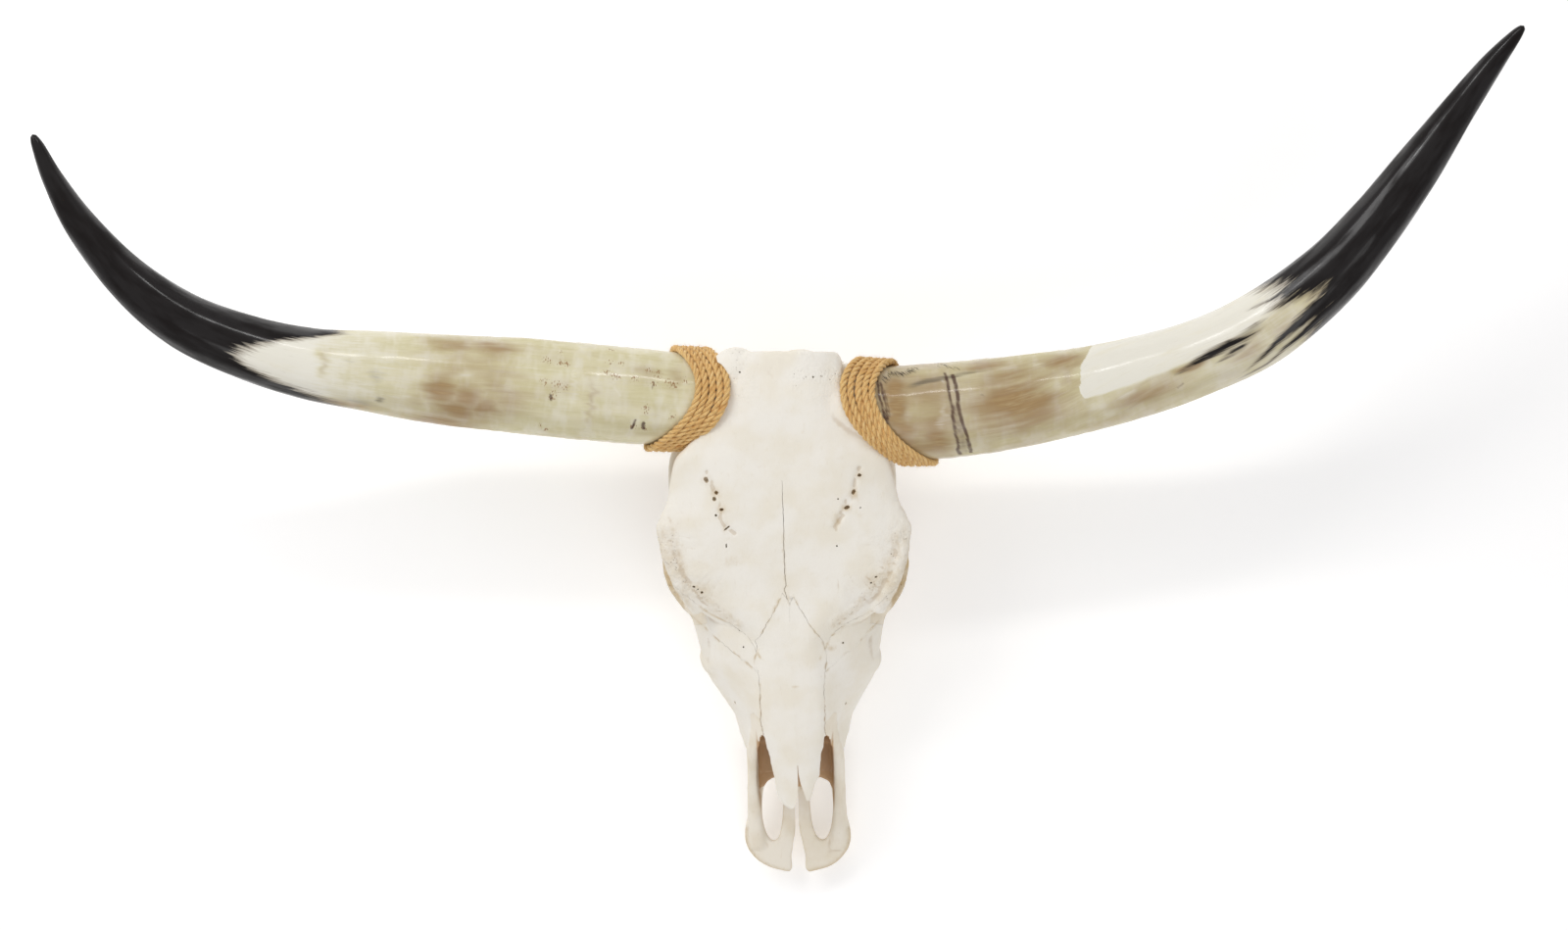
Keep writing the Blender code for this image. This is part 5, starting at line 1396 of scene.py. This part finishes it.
def horn_material():
    """Keratin horn, scraped and oiled: fibres that run the whole length, threads of black that fray out
    into the white, red-brown worm pits, and a satin skin under a thin shine that the light breaks on."""
    made, inputs = new_material("oiled_horn", IOR=1.45, Specular_IOR_Level=0.12, Coat_IOR=1.4,
                                Coat_Roughness=0.12)
    tree = made.node_tree
    strand = node(tree, "Attribute", "Vector", {"attribute_name": "strand"})
    black, white, brown, grey, crack, pits = (
        node(tree, "Attribute", "Fac", {"attribute_name": title}) for title in HORN_FIELDS)
    # each pattern's length along the horn and its width, in metres; real fibres are about 0.1 mm wide and
    # are drawn 0.7 and 1.8 mm wide, so that they show
    thread, hair, cloud, band, cells = (
        node(tree, "VectorMath", "Vector", {"operation": "MULTIPLY"}, i0=strand,
             i1=(1 / lengthwise, 1 / across, 1 / across))
        for lengthwise, across in ((0.060, 0.0018), (0.030, 0.0007), (0.055, 0.011), (0.013, 0.030),
                                   (0.0012, 0.0036)))
    thread, hair, cloud, band = (
        node(tree, "TexNoise", "Fac", Vector=at, Scale=1.0, Detail=detail, Roughness=0.6)
        for at, detail in ((thread, 4), (hair, 3), (cloud, 3), (band, 2)))
    cells = node(tree, "TexVoronoi", "Distance", Vector=cells, Scale=1.0)
    pit = node(tree, "Math", 0, {"operation": "MULTIPLY_ADD"}, i0=pits, i1=0.52,
               i2=node(tree, "Math", 0, {"operation": "MULTIPLY"}, i0=cells, i1=-1.0))
    fine = node(tree, "Math", 0, {"operation": "MULTIPLY_ADD"}, i0=hair, i1=0.5, i2=-0.7)
    ragged = node(tree, "Math", 0, {"operation": "MULTIPLY_ADD"}, i0=thread, i1=0.9, i2=fine)
    colour = clouded(tree, linear("#D8D0AC"), ragged, (
        (cloud, 0.3, 0.38, 0.70, 0.62, "#C2BA8C"), (band, 0.5, 0.42, 0.70, 0.55, "#E5E0CE"),
        (thread, 0, 0.48, 0.80, 0.50, "#E4DCC0"), (brown, 0.35, 0.00, 1.10, 1.00, "#96764D"),
        (brown, 1.30, 0.65, 1.30, 0.40, "#C6AF80"), (white, 0.55, 0.15, 0.80, 1.00, "#E9E5D7"),
        (cloud, 0.3, 0.50, 0.80, 0.30, "#DDD3AE"), (hair, 0, 0.62, 0.78, 0.22, "#A2957A"),
        (grey, 0.7, 0.05, 0.90, 0.80, "#6E6552"), (black, 1.1, -0.40, 0.10, 0.66, "#7E705E"),
        (black, 1.3, -0.06, 0.30, 1.00, "#181413"), (pit, 0.35, -0.06, 0.12, 0.80, "#8A5C2E"),
        (crack, 0.10, 0.12, 0.80, 0.85, "#4B2E26")))
    height = node(tree, "Math", 0, {"operation": "MULTIPLY_ADD"}, i0=crack, i1=-0.0003,
                  i2=node(tree, "Math", 0, {"operation": "MULTIPLY"}, i0=ragged, i1=0.00012))
    for socket, low, high, at_low, at_high in (("Roughness", 0.3, 0.7, 0.36, 0.5),
                                               ("Coat Weight", 0.40, 0.60, 0.80, 0.12)):
        value = node(tree, "MapRange", 0, Value=cloud, From_Min=low, From_Max=high,
                     To_Min=at_low, To_Max=at_high)
        tree.links.new(value, inputs[socket])
    skin = node(tree, "Bump", "Normal", Strength=0.5, Distance=1.0, Height=height)
    tree.links.new(colour, inputs["Base Color"])
    tree.links.new(skin, inputs["Normal"])
    return made


HORN_FIELDS = ("black", "white", "brown", "grey", "crack", "pits")
INNER_RINGS = (0.03, 0.35, 0.7)       # radii of the rings that close the sheath, as shares of its rim's
OILED_HORN = horn_material()
for hand, stations, wave in HORNS:
    points, out, t, a, r = horn_grid(stations, wave)
    fields = np.stack(horn_fields(hand, t, a, r))
    points += out * horn_relief(t, a, r, fields[4])[..., None]
    middle_s, height, _ = horn_axis(stations, wave[0])
    angle = np.arctan2(Y_POLL - points[0, :, 1] - middle_s, points[0, :, 2] - height)
    share = np.array(INNER_RINGS)[:, None]
    away = wave[0] + (math.copysign(1, stations[0][0]) * (points[0, :, 0] - X_MIDLINE) - wave[0]) * share
    inner = place(horn_point(stations, away, angle, share * r[0]), False) * 1000
    forms = [skin_over(np.concatenate([inner, points]) * 0.001)]
    strand = np.concatenate([0 * inner, along_grain(hand, t, a, r)]).reshape(-1, 3)
    values = np.concatenate([np.zeros((6, *inner.shape[:2])), fields], 1).reshape(6, -1)
    if hand == "left":
        hairs = clinging_hairs(points, out, t, np.random.default_rng(140))
        forms.append(closed_tubes(hairs * 0.001))
        strand = np.vstack([strand, hairs.reshape(-1, 3)])
        values = np.hstack([values, np.outer((1, 0, 0, 0, 0, 0), np.ones(hairs[..., 0].size))])
    horn = add_mesh(f"horn_{hand}", *together(forms))
    for title, field in zip(HORN_FIELDS, values):
        keep_values(horn.data, title, field)
    keep_values(horn.data, "strand", strand * 0.001)
    horn.data.materials.append(OILED_HORN)
    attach(horn, "root")
    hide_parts(f"horn_{hand}")

# ---- Ropes ---------------------------------------------------------------------------------
# Each horn base is bound with five turns of three-strand natural-fibre rope, laid tight over the
# joint of sheath and bone, its two ends tapering away.  Loose fibres stand off it.

ROPE_RADIUS, STRAND_CENTRE, STRAND_RADIUS = 3.5, 1.85, 1.72
LAY, YARN_LAY, YARNS = 23.0, 15.0, 4
ROPE_ROWS, STRAND_AROUND = 1150, 18
FIBRES, FIBRE_RADIUS = 2300, 0.1


def winding(stations, wave, seed):
    """Middle line of a rope, in mm, with unit vectors ahead, outward and sideways, and its own length."""
    turns = np.linspace(0, ROPE_TURNS, ROPE_ROWS)
    angle = 2 * math.pi * turns - math.pi
    lattice = np.stack([turns * 100, 0 * turns], -1)
    drift = 0.5 * noise(lattice, 9.0, seed) + 0.4 * noise(lattice, 31.0, seed + 1)
    away = winding_line(wave, angle) + (turns - ROPE_TURNS / 2) * ROPE_PITCH + drift
    _, _, radius = horn_axis(stations, away)
    rise = radius + ROPE_RADIUS + 0.35 + 0.3 * noise(lattice, 14.0, seed + 2)
    path = place(horn_point(stations, away, angle, rise), False) * 1000
    out = place(horn_point(stations, away, angle, rise + 1), False) * 1000 - path
    ahead = unit(np.gradient(path, axis=0))
    out = squared(out, ahead)
    return path, ahead, out, np.cross(ahead, out), length_along(path)


def strand_rings(path, out, aside, run, number, seed):
    """One strand as rings of points: its middle winds round the rope's, path + h (cos w out + sin w aside)
    with w = 2 pi run / lay, and its section has a lobe for each yarn, twisted the other way."""
    turn = 2 * math.pi * (run / LAY + number / 3)
    lattice = np.stack([run, 0 * run + 50 * number], -1)
    spread = STRAND_CENTRE * (1 + 0.09 * noise(lattice, 11.0, seed))
    radial = np.cos(turn)[:, None] * out + np.sin(turn)[:, None] * aside
    centre = path + spread[:, None] * radial
    tangent = unit(np.gradient(centre, axis=0))
    radial = squared(radial, tangent)
    across = np.cross(tangent, radial)
    theta = circle(STRAND_AROUND)
    lobes = np.cos(YARNS * (theta - 2 * math.pi * run[:, None] / YARN_LAY))
    end = np.minimum(run, run[-1] - run)
    size = STRAND_RADIUS * (1 + 0.08 * noise(lattice, 5.0, seed + 1)) * np.sqrt(fade(-1.0, 7.0, end))
    section = size[:, None] * (1 + 0.06 * lobes)
    ring = np.cos(theta)[:, None] * radial[:, None] + np.sin(theta)[:, None] * across[:, None]
    points = centre[:, None] + section[..., None] * ring
    flat = np.stack([run[:, None] + 0 * section, section * np.cos(theta) + 20 * number,
                     section * np.sin(theta)], -1)
    return points, flat


def rope_material():
    """Sun-browned sisal rope: straw to orange-brown fibres that follow each yarn, with dark brown shade
    painted in the grooves between strands, dull and rough, with a faint dry shine on single fibres."""
    made, inputs = new_material("sisal_rope", Roughness=0.78, Specular_IOR_Level=0.3, Sheen_Weight=0.15)
    tree = made.node_tree
    strand = node(tree, "Attribute", "Vector", {"attribute_name": "strand"})
    painted_groove_shade = node(tree, "Attribute", "Fac", {"attribute_name": "depth"})
    # length along a yarn and width, in metres: fibres 6 mm by 0.35 mm, a little coarser than real ones so
    # that they show, and patches of 30 mm by 6 mm
    thread, patch = (
        node(tree, "TexNoise", "Fac", Scale=1.0, Detail=detail, Roughness=0.65,
             Vector=node(tree, "VectorMath", "Vector", {"operation": "MULTIPLY"}, i0=strand,
                         i1=(1 / lengthwise, 1 / across, 1 / across)))
        for lengthwise, across, detail in ((0.006, 0.00035, 4), (0.030, 0.006, 2)))
    # the last layer is dark brown painted shade in the grooves between strands
    colour = clouded(tree, linear("#E0B36B"), None, (
        (thread, 0, 0.42, 0.72, 0.75, "#FAE6B2"), (thread, 0, 0.50, 0.25, 0.75, "#AC7230"),
        (patch, 0, 0.50, 0.75, 0.60, "#CB9048"), (patch, 0, 0.42, 0.25, 0.50, "#F2D8A0"),
        (painted_groove_shade, 0, 0.22, 0.80, 0.94, "#6A3A10")))
    height = node(tree, "Math", 0, {"operation": "MULTIPLY"}, i0=thread, i1=0.0004)
    skin = node(tree, "Bump", "Normal", Strength=0.8, Distance=1.0, Height=height)
    tree.links.new(colour, inputs["Base Color"])
    tree.links.new(skin, inputs["Normal"])
    return made


SISAL = rope_material()
for (hand, stations, wave), seed in zip(HORNS, (120, 130)):
    generator = np.random.default_rng(seed)
    path, ahead, out, aside, run = winding(stations, wave, seed)
    made = [strand_rings(path, out, aside, run, number, seed + 3 + number) for number in range(3)]
    rings, flat = (np.stack([pair[k] for pair in made]) for k in (0, 1))
    # painted shade: 1 near the rope's middle, in the grooves between strands, and 0 on the strands' crowns
    depth = 1 - fade(0.28, 0.85, np.linalg.norm(rings - path[None, :, None], axis=-1) / ROPE_RADIUS)

    pick = generator.integers(4, ROPE_ROWS - 4, FIBRES)
    where = generator.uniform(-1.9, 1.9, FIBRES)[:, None]
    away = np.cos(where) * out[pick] + np.sin(where) * aside[pick]
    heading = ahead[pick] * generator.choice((-1, 1), FIBRES)[:, None]
    heading = unit(heading + generator.normal(0, 0.5, (FIBRES, 3)))
    hairs = loose_fibres(path[pick] + away * (ROPE_RADIUS - 0.5), heading, away,
                         generator.uniform(2.5, 8.5, FIBRES), FIBRE_RADIUS,
                         generator.gamma(1.6, 0.7, FIBRES) + 0.4, 1.8, generator)
    rope = add_mesh(f"rope_{hand}", *together([closed_tubes(rings * 0.001), closed_tubes(hairs * 0.001)]))
    keep_values(rope.data, "strand", np.vstack([flat.reshape(-1, 3), hairs.reshape(-1, 3)]) * 0.001)
    keep_values(rope.data, "depth", np.r_[depth.ravel(), np.zeros(hairs[..., 0].size)])
    rope.data.materials.append(SISAL)
    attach(rope, "root")
    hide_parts(f"rope_{hand}")

size = {"cad": [list(c) for c in cad_box], "visual": [list(c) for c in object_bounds()]}
